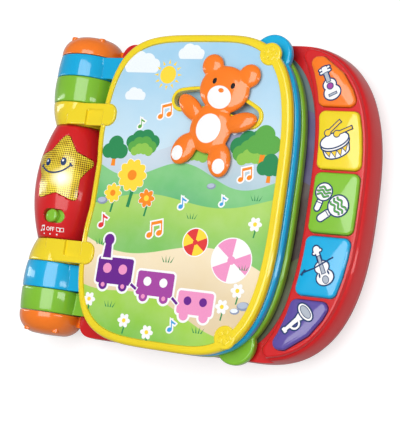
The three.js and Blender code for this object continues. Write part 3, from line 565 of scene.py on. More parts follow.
def base_outline():
    corner = BASE_CORNER
    reach = BASE_RIGHT - BASE_CURVE_X
    points = [super_point(BASE_CURVE_X, reach, BASE_HALF, BASE_POWER, angle) for angle in HALF_TURN]
    points += arc(BASE_LEFT + corner, BASE_HALF - corner, corner, pi / 2, pi, 10)
    points += arc(BASE_LEFT + corner, corner - BASE_HALF, corner, pi, 1.5 * pi, 10)
    return points


def base_rings(profile):
    """Rings of (z, draft), whose draft fades out along the straight left side."""
    rings = []
    for z, draft in profile:
        points = []
        for x, y in offset(base_outline(), -draft):
            near = (BASE_LEFT + BASE_CORNER - x) / (BASE_CORNER - draft)
            points.append((x - draft * max(0.0, min(1.0, near)), y))
        rings.append((z, points))
    return rings


def panel_ring(z, grow):
    """Inner wall of the key panel, flared where it meets the ends of the base."""
    points = []
    for angle in HALF_TURN:
        x, y = super_point(PANEL_X, PANEL_EDGE - PANEL_X + grow, PANEL_HALF + grow, PANEL_POWER, angle)
        over = max(0.0, min(1.0, (abs(y) - BASE_HALF) / PANEL_FLARE_LENGTH + 1))
        points.append((x + PANEL_FLARE * over ** 2, y))
    points += [(-200.0, PANEL_HALF + grow), (-200.0, -PANEL_HALF - grow)]
    return (z, points)


def key_outline(y0, y1):
    def on_curve(cx, a, b, power, y):
        return cx + a * (1 - abs(y / b) ** power) ** (1 / power)

    outer_a = BASE_RIGHT - BASE_CURVE_X - KEY_INSET
    right, left = [], []
    for i, radius in enumerate((KEY_CORNER, 0.0, 0.0, KEY_CORNER)):
        y = y0 + (y1 - y0) * i / 3
        outer_x = on_curve(BASE_CURVE_X, outer_a, BASE_HALF - KEY_INSET, BASE_POWER, y)
        inner_x = on_curve(PANEL_X, KEY_EDGE - PANEL_X, KEY_CURVE_HALF, PANEL_POWER, y)
        right.append((outer_x, y, radius))
        left.append((inner_x, y, radius))
    return fillet(right + left[::-1], 12)


KEYS = {
    "key_orange_guitar": (66.0, 101.0, "orange"),
    "key_yellow_drum": (22.8, 63.1, "yellow"),
    "key_green_maracas": (-20.6, 20.6, "green"),
    "key_blue_violin": (-63.1, -22.8, "blue"),
    "key_purple_trumpet": (-101.0, -66.0, "purple"),
}


def base_top():
    profile = [(18, 0), (20, 0.05), (24, 0.25), (28, 0.65), (31, 1.2), (32.4, 1.7), (33.2, 2.3),
               (33.6, 2.9), (33.8, 3.3), (34.2, 3.45), (35.4, 3.6), (36.2, 3.85), (36.7, 4.25),
               (36.93, 4.75), (37, 5.4)]
    wall = [(FLOOR, 0.0), (34.8, 0.4), (35.8, 0.65), (36.5, 1.15), (36.88, 1.9), (37.0, 2.8), (38.0, 4.0)]
    shell = loft("base_top_visual", base_rings(profile), MAT["red"])
    cutter = loft("cutter", [panel_ring(z, grow) for z, grow in wall])
    spine = barrel("seat", CLEAR)
    holes = [prism("hole", offset(key_outline(y0, y1), CLEAR + 0.15), 33.0, 38.0)
             for y0, y1, _ in KEYS.values()]
    cut(shell, cutter, spine, *holes, angle=25.0)
    place(shell, "base", "red", "base_top_shell")


def base_bottom():
    profile = [(0, 8.2), (0.3, 7.3), (0.9, 6.5), (1.8, 6.0), (5, 4.2), (9.9, 1.9), (14, 0.6), (18, 0)]
    shell = loft("base_bottom_visual", base_rings(profile), MAT["red"])
    cutters = [barrel("seat", CLEAR), box("door_recess", -36.0, 36.0, -22.6, 22.6, -1, 2.3)]
    for x, y in ((-66, 98), (-66, -98), (66, 98), (66, -98), (-66, 0), (66, 0)):
        cutters.append(prism("screw_hole", circle(x, y, 3.1, 32), -1, 3.0))
    for i in range(-3, 4):
        reach = 2 * sqrt(17.0 ** 2 - (i * 5) ** 2)
        cutters.append(prism("slot", capsule(58, -58 + i * 5, reach, 2.4), -1, 2.4))
    cut(shell, *cutters)
    place(shell, "base", "red", "base_bottom_shell")


def key(name, y0, y1, colour):
    """A cap with a flange under the panel, a rounded rim and a low crown."""
    outline = key_outline(y0, y1)
    flange = offset(outline, 0.7)
    crown, rim, rim_in = 0.6, 1.7, 1.9
    top = PLATEAU + KEY_PROUD
    rings = [(33.3, flange), (34.5, flange), (34.51, outline), (top - crown - rim, outline)]
    for s, c in quarter(6)[1:]:
        rings.append((top - crown - rim * (1 - s), offset(outline, -rim_in * (1 - c))))
    inner = offset(outline, -rim_in)
    for share in (0.06, 0.13, 0.2, 0.3, 0.4, 0.55, 0.8):
        rings.append((top - crown * (1 - share) ** 4, shrink(inner, share)))
    piece = loft(name + "_cap", rings, MAT[colour])
    place(piece, name + "_body", "key_yellow" if colour == "yellow" else colour, name)


# Leaves
def leaf_outline(level, left=0.0, right=0.0, end=0.0):
    points = []
    for i in range(240):
        angle = 2 * pi * (i + 0.5) / 240
        on_right = cos(angle) > 0
        if on_right:
            a, power = LEAF_RIGHT + (2 - level) * LEAF_STEP - LEAF_X - right, LEAF_RIGHT_POWER
        else:
            a, power = LEAF_X - LEAF_LEFT - left, LEAF_LEFT_POWER
        x, y = super_point(LEAF_X, a, LEAF_HALF - end, power, angle)
        if not on_right and abs(y) < HOUSING_HALF:
            share = cos(pi / 2 * y / HOUSING_HALF) ** 2
            x += 3.5 * share * max(0.0, min(1.0, -(x + 60) / 10))
        points.append((x, y))
    return points


def leaf_bottom(level):
    return FLOOR + PRINT_T + LEAF_GAP + level * (LEAF_T + LEAF_GAP)


def web_bottom(level):
    return leaf_bottom(level) + (LEAF_T - LEAF_WEB) / 2


COVER_TOP = leaf_bottom(2) + LEAF_T
WEB_TOP = COVER_TOP - (LEAF_T - LEAF_WEB) / 2


def leaf_plate(name, level, material, crown=2.4):
    """A thin web in a thick rim."""
    z0 = leaf_bottom(level)
    z1 = z0 + LEAF_T
    web = web_bottom(level)
    inner = leaf_outline(level, *RIM)
    lip = offset(inner, 0.35)
    rings = [(web, inner), (z0 + 0.35, inner), (z0, lip)]
    rings += rounded(leaf_outline(level), z0, z1, 1.6, crown, 7)
    rings += [(z1, lip), (z1 - 0.35, inner), (web + LEAF_WEB, inner)]
    return loft(name, rings, material)


def knuckle(band, sign):
    """A ring about the spine: above its middle for sign 1, below it for -1."""
    y0, y1 = BANDS[band]
    r0, r1, r2 = KNUCKLES[band]
    edge = 0.7
    profile = [(BORE_R, y0), (r0 - edge, y0), (r0 - edge * 0.3, y0 + edge * 0.3), (r0, y0 + edge)]
    for i in range(1, 14):
        t = i / 14
        bulge = r0 * (1 - t) * (1 - 2 * t) + 4 * r1 * t * (1 - t) + r2 * t * (2 * t - 1)
        profile.append((bulge, y0 + edge + (y1 - y0 - 2 * edge) * t))
    profile += [(r2, y1 - edge), (r2 - edge * 0.3, y1 - edge * 0.3), (r2 - edge, y1), (BORE_R, y1),
                (BORE_R, y0)]
    return lathe("knuckle", [(r, sign * y) for r, y in profile])


def trimmed(level, piece):
    """The part of a piece that stands outside the middle of the leaf's rim."""
    z0 = leaf_bottom(level)
    core = prism("core", leaf_outline(level, *(width / 2 for width in RIM)), z0 - 1, z0 + 8)
    return cut(piece, core)


def arm(level, band, sign):
    y0, y1 = BANDS[band]
    z0 = leaf_bottom(level)
    bend = (1 - (y1 / LEAF_HALF) ** LEAF_LEFT_POWER) ** (1 / LEAF_LEFT_POWER)
    end = LEAF_X - (LEAF_X - LEAF_LEFT) * bend + 3.0
    low, high = sorted((sign * (y0 + 0.4), sign * (y1 - 0.4)))
    return trimmed(level, box("arm", SPINE_X + 9.5, end, low, high, z0 + 0.4, z0 + LEAF_T - 0.4))


def index_tab(level, y):
    z0 = leaf_bottom(level)
    rings = rounded(circle(TAB_X, y, TAB_R, 72), z0 + 0.5, z0 + LEAF_T - 0.5, 1.2, 1.8)
    return trimmed(level, loft("tab", rings))


def inner_leaf(name, level, tab_y, upper, lower, colour):
    plate = leaf_plate(name + "_visual", level, MAT[colour])
    parts = []
    for band, sign in ((upper, 1), (lower, -1)):
        parts += [knuckle(band, sign), arm(level, band, sign)]
    join(plate, *parts, index_tab(level, tab_y))
    place(plate, name + "_body", colour, name)


# Cover with clasp straps and the bear's slot
def arc_band(inner, outer, half, round_ends, steps=40):
    start, end = SLOT_MID - half, SLOT_MID + half
    middle, radius = (inner + outer) / 2, (outer - inner) / 2

    def tip(angle, turn):
        cx = PIVOT[0] + middle * cos(angle)
        cy = PIVOT[1] + middle * sin(angle)
        return arc(cx, cy, radius, turn, turn + pi, 20)[1:-1] if round_ends else []

    points = arc(*PIVOT, outer, start, end, steps) + tip(end, end)
    return points + arc(*PIVOT, inner, end, start, steps) + tip(start, start + pi)


def slot_outline(grow):
    half = SLOT_W / 2 + grow
    return arc_band(SLOT_R - half, SLOT_R + half, SLOT_HALF, True)


def strap_outline(grow=0.0):
    y0 = BANDS["inner"][0]
    y1 = y0 + 16.4
    return offset(fillet([(SPINE_X, y0, 0), (-64, y0, 7), (-64, y1, 7), (SPINE_X, y1, 0)], 12), grow)


def strap():
    top = COVER_TOP + 0.5
    piece = loft("strap", rounded(strap_outline(), top - 3.4, top, 0, 1.0))
    pocket = fillet([(-90, 42.4, 0), (-74.5, 42.4, 0), (-74.5, 55.4, 2), (-90, 55.4, 2)])
    return cut(piece, prism("pocket", pocket, top - 2.2, top + 1))


def corner_flowers():
    """Low raised rosettes in the two outer corners of the cover's rim."""
    pieces = []
    for cx, cy in ROSETTES:
        pieces.append(loft("disc", rounded(circle(cx, cy, 8.2, 48), WEB_TOP - 1, COVER_TOP - 0.1, 0, 1.2)))
        for i in range(5):
            angle = 2 * pi * i / 5
            petal = circle(cx + 3.6 * cos(angle), cy + 3.6 * sin(angle), 2.1, 24)
            pieces.append(loft("petal", rounded(petal, COVER_TOP - 1, COVER_TOP + 0.35, 0, 0.8, 4)))
    return pieces


def yellow_leaf():
    bore = lathe("bore", [(0, 0), (BORE_R, 0), (BORE_R, 98), (0, 98)])
    ring = cut(join(knuckle("inner", 1), strap()), bore)
    plate = leaf_plate("yellow_leaf_visual", 2, MAT["yellow"], 2.8)
    rim = loft("rim", rounded(slot_outline(SLOT_RIM), WEB_TOP - 1, COVER_TOP, 0, 0.9))
    join(plate, ring, mirror_y(ring, "ring_low"), rim, *corner_flowers())
    cut(plate, prism("hole", slot_outline(0), leaf_bottom(2) - 1, COVER_TOP + 1))
    place(plate, "yellow_leaf_body", "yellow", "yellow_leaf")


# Teddy bear of soft lobes, each (x, y, radius x, radius y, turn, share of the thickness)
LOBES = [
    (0, 20, 20, 17, 0.0, 1.0), (-15.5, 34, 8.5, 8.5, 0.0, 0.84), (15.5, 34, 8.5, 8.5, 0.0, 0.84),
    (0, -9, 16.5, 18, 0.0, 0.92), (-21, 1, 13, 7, -0.5, 0.82), (21, 1, 13, 7, 0.5, 0.82),
    (-15, -28, 9, 12.5, -0.35, 0.88), (15, -28, 9, 12.5, 0.35, 0.88),
]
WHITE_SPOTS = ((0, 13.5, 9.5, 8.0), (0, -9.5, 9.5, 10.5), (-17.6, -32.5, 4.6, 5.2), (17.6, -32.5, 4.6, 5.2))
BEAR_BOTTOM = COVER_TOP + 0.4
BEAR_T = 5.2


def bear_frame(points):
    return moved(points, BEAR_X, BEAR_Y, BEAR_TILT)


def bear():
    pieces = []
    for x, y, rx, ry, turn, share in LOBES:
        outline = bear_frame(ellipse(x, y, rx, ry, turn, 72))
        height = BEAR_T * share
        rings = [(BEAR_BOTTOM, outline), (BEAR_BOTTOM + height * 0.25, outline)]
        for s, c in quarter(10)[1:10]:
            rings.append((BEAR_BOTTOM + height * (0.25 + 0.75 * s), shrink(outline, 1 - c ** 0.8)))
        pieces.append(loft("lobe", rings))
    body = pieces[0]
    body.name = "bear_body_visual"
    join(body, *pieces[1:])
    body.modifiers.clear()
    remesh = body.modifiers.new("blend", "REMESH")
    remesh.mode = "VOXEL"
    remesh.voxel_size = 0.0007
    smooth = body.modifiers.new("soften", "SMOOTH")
    smooth.factor = 0.5
    smooth.iterations = 6
    mesh = baked(body)
    body.modifiers.clear()
    body.data = mesh
    mesh.shade_smooth()
    mesh.materials.clear()
    mesh.materials.append(bear_material())
    place(body, "bear_body", "bear")
    half = SLOT_W / 2 - CLEAR
    shoe_outline = arc_band(SLOT_R - half, SLOT_R + half, SHOE_HALF, False, 8)
    shoe = prism("bear_shoe", shoe_outline, 44.4, BEAR_BOTTOM + 1, MAT["orange"])
    place(shoe, "bear_body", "bear", "bear_slider")


def bear_material():
    """Orange plastic with the muzzle, belly and soles sprayed white."""
    nodes = Nodes("bear_orange")
    x, y, z = nodes.axes()
    across, along = nodes.sub(x, BEAR_X), nodes.sub(y, BEAR_Y)
    c, s = cos(BEAR_TILT), sin(BEAR_TILT)
    u = nodes.add(nodes.mul(across, c), nodes.mul(along, s))
    v = nodes.sub(nodes.mul(along, c), nodes.mul(across, s))
    colour = nodes.mix(nodes.patches(18.0, 2.0, 0.35, 0.65), tinted(ORANGE, 0.92), tinted(ORANGE, 1.02))
    lifted = nodes.ramp(z, BEAR_BOTTOM + 1.5, BEAR_BOTTOM + 2.2)
    for spot in WHITE_SPOTS:
        inside = nodes.mul(nodes.ramp(nodes.ellipse(u, v, *spot), 1.03, 0.98), lifted)
        colour = nodes.mix(inside, colour, WHITE)
    nodes.shader(Specular_IOR_Level=0.15)
    return nodes.finish(colour, 0.3, 0.01, 1.0)


def bear_face():
    """Plain button eyes and a nose, small domes on the head."""
    z = BEAR_BOTTOM + 5.0
    for name, x, y, rx, ry, material, slot in (
        ("bear_eye_left", -7.6, 23.5, 1.7, 2.3, "black", "black"),
        ("bear_eye_right", 7.6, 23.5, 1.7, 2.3, "black", "black"),
        ("bear_nose", 0, 18.3, 3.2, 2.2, "orange", "bear"),
    ):
        outline = bear_frame(ellipse(x, y, rx, ry, 0.0, 32))
        rings = [(z - 1.5, outline), (z - 0.2, outline)]
        rings += [(z - 0.2 + 0.5 * s, shrink(outline, 1 - c)) for s, c in quarter(6)[1:6]]
        place(loft(name, rings, MAT[material]), "bear_body", slot)


# Spine
def housing_radius(y):
    return SPINE_R - (SPINE_R - HOUSING_END_R) * (y / HOUSING_HALF) ** 2


RECESS_FLOOR = SPINE_Z + housing_radius(SLIDER[1]) - RECESS_DEPTH


def barrel(name, skin, half=HOUSING_HALF, material=None):
    heights = [half * (2 * i / 48 - 1) for i in range(49)]
    profile = [(0, -half)] + [(housing_radius(y) + skin, y) for y in heights] + [(0, half)]
    return lathe(name, profile, material, 144)


def star_outline(grow):
    corners = []
    for i in range(10):
        angle = pi / 2 + pi * i / 5
        radius, rounding = (STAR_R * STAR_INNER, 3.0) if i % 2 else (STAR_R, STAR_TIP)
        corners.append((radius * cos(angle), STAR_Y + radius * sin(angle), rounding))
    return offset(fillet(corners), grow)


def on_barrel(s, y, lift):
    """A point s millimetres round the barrel from the star's middle line."""
    radius = housing_radius(y)
    angle = s / radius + STAR_TILT
    return (SPINE_X + (radius + lift) * sin(angle), y, SPINE_Z + (radius + lift) * cos(angle))


def star_prism(name, grow, z0, material=None):
    points = [on_barrel(s, y, 0.0)[:2] for s, y in star_outline(grow)]
    return prism(name, points, z0, SPINE_Z + 40, material)


def star_housing():
    shell = barrel("star_housing_visual", 0.0, material=MAT["red"])
    reach = HOUSING_HALF - 0.6
    join(shell, box("saddle", SPINE_X, BASE_LEFT, -reach, reach, 4, FLOOR - 1.4))
    star_hole = star_prism("star_hole", CLEAR, SPINE_Z)
    cut(star_hole, barrel("under", -2.53, HOUSING_HALF - 2))
    recess = prism("recess", capsule(*SLIDER, 17.2, 10.0), RECESS_FLOOR, SPINE_Z + 40)
    cut(shell, star_hole, recess)
    place(shell, "base", "red", "star_housing")


def star_material():
    """Clear star over gold dots, with the lamp's white glow in the middle."""
    nodes = Nodes("star_gold")
    x, y, z = nodes.axes()
    angle = nodes.math("ARCTAN2", nodes.sub(x, SPINE_X), nodes.sub(z, SPINE_Z))
    s = nodes.mul(nodes.sub(angle, STAR_TILT), SPINE_R - 0.5)
    cells = [nodes.sub(nodes.math("FRACT", nodes.math("DIVIDE", value, 1.6)), 0.5) for value in (s, y)]
    dot = nodes.ramp(nodes.length(*cells), 0.46, 0.3)
    patch = nodes.patches(70.0, 3.0, 0.35, 0.65)
    gold = nodes.mix(patch, rgb(214, 176, 20), rgb(244, 226, 66))
    dark = nodes.mix(patch, rgb(70, 46, 4), rgb(140, 100, 8))
    colour = nodes.mix(dot, gold, dark)
    far = nodes.ellipse(s, y, 2.0, STAR_Y - 6.5, 15.0, 12.0)
    glow = nodes.mul(nodes.ramp(far, 1.3, 0.15), 0.8)
    colour = nodes.mix(glow, colour, rgb(246, 222, 70))
    colour = nodes.mix(nodes.ramp(far, 0.75, 0.0), colour, rgb(255, 252, 226))
    nodes.shader(Emission_Color=colour, Emission_Strength=0.12)
    return nodes.finish(colour, 0.2, coat=0.6)


def star_lens():
    layer = cut(barrel("layer", 0.12, HOUSING_HALF - 1), barrel("inner", -2.2))
    lens = star_prism("star_lens_visual", 0.0, SPINE_Z + 4, star_material())
    combine(lens, [layer], "INTERSECT")
    place(lens, "base", "star_lens", "star_lens")


def star_face():
    """Eyes and a smile printed on the star."""
    art = Artwork(lift=lambda s, y, lift: on_barrel(s, y, 0.22 + lift))
    art.at = dict(dx=-4.5, dy=13.2, turn=0.08)
    for side in (-1, 1):
        art.shapes([ellipse(side * 6.8, 0, 2.3, 3.0)], "navy")
        art.shapes([ellipse(side * 6.8 - 0.5, 0.9, 0.75, 0.95)], "white")
    smile = arc(0, 7.6, 16.0, radians(218), radians(322), 30)
    ends = [[(side * 13.9, -3.4), (side * 11.6, -1.0)] for side in (-1, 1)]
    art.shapes([stroke(line, 1.25) for line in [smile] + ends], "navy")
    art.done("star_smile", "base", "black")


SWITCH_MIDDLE = -2.3


def switch_signs():
    """A note, OFF and an open book over three dots."""
    art = Artwork(lift=lambda s, y, lift: on_barrel(s, y, 0.06 + lift))
    for i in (-1, 0, 1):
        art.shapes([circle(SWITCH_MIDDLE + i * 5.6, -40.2, 0.6, 16)], "white")
    art.at = dict(dx=SWITCH_MIDDLE - 7.4, dy=-38.0, scale=1.15)
    heads = [ellipse(x, y, 0.8, 0.6, 0.3, 16) for x, y in ((-1.2, 0), (1.2, 0.4))]
    stems = [stroke([(x, y), (x, y + 2.9)], 0.45) for x, y in ((-0.5, 0.0), (1.9, 0.4))]
    art.shapes(heads + stems + [stroke([(-0.6, 2.7), (2.0, 3.1)], 0.8)], "white")
    art.at = dict(dx=SWITCH_MIDDLE + 7.9, dy=-38.2)
    for side in (-1, 1):
        page = [(0, 0), (side * 2.9, 0.4), (side * 2.9, 3.4), (0, 3.0)]
        art.shapes([page], "white")
        art.shapes([shrink(page, 0.3)], "housing")
    art.done("switch_signs", "base", "white")
    word = bpy.data.curves.new("off_text", "FONT")
    word.body = "OFF"
    word.size = 4.0
    word.align_x = "CENTER"
    word.offset = 0.06
    text = link("off_text", word)
    mesh = baked(text)
    bpy.data.objects.remove(text)
    for vertex in mesh.vertices:
        vertex.co = Vector(on_barrel(vertex.co.x + SWITCH_MIDDLE, vertex.co.y - 37.9, 0.05)) * MM
    mesh.materials.append(INK["white"])
    place(link("off_sign", mesh), "base", "white")


def slider_track():
    """The slider's green runner, seen in the floor of its recess."""
    outline = capsule(*SLIDER, 16.8, 9.6)
    rings = rounded(outline, RECESS_FLOOR + 0.02, RECESS_FLOOR + RUNNER_T, 0, 0.3)
    place(loft("slider_runner", rings, MAT["green"]), "base", "green")


def mode_slider():
    top = RECESS_FLOOR + 5.8
    bottom = RECESS_FLOOR + RUNNER_T + 0.05
    profile = [(0, bottom), (4.7, bottom), (4.7, top - 1.8)]
    profile += [(4.7 - 1.9 * (1 - c), top - 1.8 + 1.5 * s) for s, c in quarter(8)[1:]]
    profile += [(1.2, top - 0.05), (0, top)]
    knob = lathe("mode_knob", profile, MAT["green"], 64, SLIDER)
    place(knob, "mode_slider_body", "green", "mode_slider")


def cap_stud(y0, y1, turn):
    """A small stud on the shoulder of a cap, turned about the spine from straight up."""
    angle = radians(turn)
    cx, cz = SPINE_X + 17.5 * sin(angle), SPINE_Z + 17.5 * cos(angle)
    bm = bmesh.new()
    rows = []
    for radius, y in ((2.6, y0), (2.6, y1 - copysign(0.6, y1)), (2.1, y1)):
        rows.append([bm.verts.new((cx + x, y, cz + z)) for x, z in circle(0, 0, radius, 32)])
    for low, high in zip(rows, rows[1:]):
        for i in range(32):
            bm.faces.new((low[i], low[i - 31], high[i - 31], high[i]))
    bm.faces.new(rows[0])
    bm.faces.new(rows[-1])
    return finish_mesh("stud", bm)


def spine_cap(name, sign):
    """The upper cap for sign 1, the lower one for -1."""
    y0 = BANDS["cap"]
    round_r = CAP_R * 0.6
    straight = y0 + CAP_LENGTH - round_r
    profile = [(0, y0), (CAP_R - 0.7, y0), (CAP_R - 0.2, y0 + 0.2), (CAP_R, y0 + 0.7), (CAP_R, straight)]
    profile += [(CAP_R - round_r * (1 - c), straight + round_r * s) for s, c in quarter(16)[1:]]
    profile += [(CAP_R * 0.2, y0 + CAP_LENGTH + 0.3), (0, y0 + CAP_LENGTH + 0.4)]
    cap = lathe(name + "_visual", [(r, sign * y) for r, y in profile], MAT["orange"])
    low, high = sorted((sign * y0, sign * (y0 + 8)))
    parts = [box("bridge", SPINE_X, BASE_LEFT, low, high, 5, FLOOR - 1.4)]
    parts += [cap_stud(sign * (y0 + 8), sign * (y0 + CAP_LENGTH - 1.6), turn) for turn in (-30, 50)]
    join(cap, *parts)
    place(cap, "base", "orange", name)


# Key pictures, each drawn upright about its own middle, then turned into place
class Picture(Artwork):
    def lined(self, outlines, colour="white", line=0.95):
        self.shapes(outlines, colour, "navy", line)


def guitar(art):
    art.at = dict(dx=98.6, dy=81.2, turn=0.47, scale=0.9)
    body = [ellipse(0, -7.2, 6.4, 5.4), ellipse(0, -0.6, 4.9, 4.4)]
    neck = rectangle(-1.4, 2, 1.4, 9.5)
    head = fillet([(-2.4, 9.2, 0.6), (2.4, 9.2, 0.6), (2.0, 14.6, 1), (-2.0, 14.6, 1)])
    pegs = [ellipse(side * 3.3, y, 1.1, 0.8, 0, 16) for side in (-1, 1) for y in (10.6, 13.2)]
    art.lined(body + [neck, head] + pegs)
    art.lined([neck], "grey", 0.55)
    art.lined([circle(0, -1.8, 2.2, 24)], "violet", 0.6)
    art.lined([rectangle(-3.0, -9.2, 3.0, -8.0)], "grey", 0.5)


def drum(art):
    art.at = dict(dx=107.9, dy=42.4, turn=0.36)
    angles = [pi * (1 + i / 12) for i in range(13)]
    bottom = [(8.6 * cos(a), -8.4 + 3.8 * sin(a)) for a in angles]
    art.lined([bottom + [(9.6, -1), (-9.6, -1)]])
    for i in range(4):
        x = -6.0 + 4 * i
        rise, sag = -6.9 + 0.03 * x * x, -11.4 + 0.05 * x * x
        art.lined([[(x - 1.9, rise), (x, sag), (x + 1.9, rise)]], "gold", 0.55)
    for y in (-1.9, 0):
        art.lined([ellipse(0, y, 10.0, 4.7)])
    art.at = dict(dx=107.9, dy=42.4)
    for ball, end in (((-5.6, 4.8), (2.2, 13.4)), ((1.1, 4.5), (11.2, 9.4))):
        art.lined([stroke([ball, end], 1.7), circle(*ball, 2.0, 24)], "gold", 0.7)


def maracas(art):
    for x, y, turn, radius, reach in ((105.5, 7.0, 4.41, 5.6, 12.4), (117.0, -1.8, 3.80, 6.9, 15.6)):
        art.at = dict(dx=x, dy=y, turn=turn)
        handle = capsule((radius + reach) / 2 + 0.6, 0, reach - radius + 1.0, radius * 0.62)
        art.lined([handle])
        art.lined([circle(0, 0, radius, 40)])
        for shift in (-0.42, 0.0, 0.42):
            wave = [(shift * radius + 0.8 * sin(t * 1.1), t) for t in [-7 + i * 0.5 for i in range(29)]]
            wave = [p for p in wave if hypot(*p) < radius - 0.5]
            art.lined([stroke(wave, 1.0)], "leaf", 0.25)
        art.shapes([stroke([(radius + 2.2, -1.9), (radius + 2.2, 1.9)], 0.6)], "navy")


def violin(art):
    art.at = dict(dx=111.4, dy=-43.6, turn=0.46)
    waist = [(-3.4, -6), (3.4, -6), (3.2, 0), (-3.2, 0)]
    body = [ellipse(0, -7.0, 5.9, 4.9), waist, ellipse(0, 0.2, 4.8, 4.0)]
    neck = [(-1.2, 2), (1.2, 2), (1.0, 11), (-1.0, 11)]
    scroll = [ellipse(0, 12.6, 2.2, 2.6), ellipse(-2.2, 10.8, 1.1, 0.8, 0, 16),
              ellipse(2.2, 11.6, 1.1, 0.8, 0, 16)]
    art.lined(body + [neck] + scroll)
    art.lined([[(-1.1, -4), (1.1, -4), (0.8, 8), (-0.8, 8)]], "grey", 0.55)
    art.lined([ellipse(0, -8.6, 1.9, 2.4)], "grey", 0.5)
    for side in (-1, 1):
        art.shapes([ellipse(side * 3.2, -4.6, 0.6, 1.7, 0.15 * side, 16)], "navy")
    art.at = {}
    bow = stroke([(97.6, -48.6), (106.0, -44.6), (118.4, -36.0)], 1.0)
    art.shapes([bow, stroke([(97.2, -50.2), (99.6, -46.2)], 1.5)], "navy")


def trumpet(art):
    art.at = dict(dx=97.2, dy=-81.0, turn=0.797)
    cone = [(-8.6, -1.1), (2, -1.5), (6, -2.9), (9.0, -5.6), (9.0, 5.6), (6, 2.9), (2, 1.5), (-8.6, 1.1)]
    mouth = fillet([(-10.4, -1.9, 0.5), (-8.0, -1.9, 0.5), (-8.0, 1.9, 0.5), (-10.4, 1.9, 0.5)], 4)
    angles = [pi * (1 + i / 14) for i in range(15)]
    loop = [(-1.0 + 3.4 * cos(a), -1.2 + 3.3 * sin(a)) for a in angles]
    art.lined([stroke(loop, 1.4), cone, mouth])
    art.lined([ellipse(9.6, 0, 3.7, 6.6)])
    art.lined([ellipse(9.8, 0, 2.3, 4.8)], "grey", 0.5)


KEY_ART = {"key_orange_guitar": guitar, "key_yellow_drum": drum, "key_green_maracas": maracas,
           "key_blue_violin": violin, "key_purple_trumpet": trumpet}


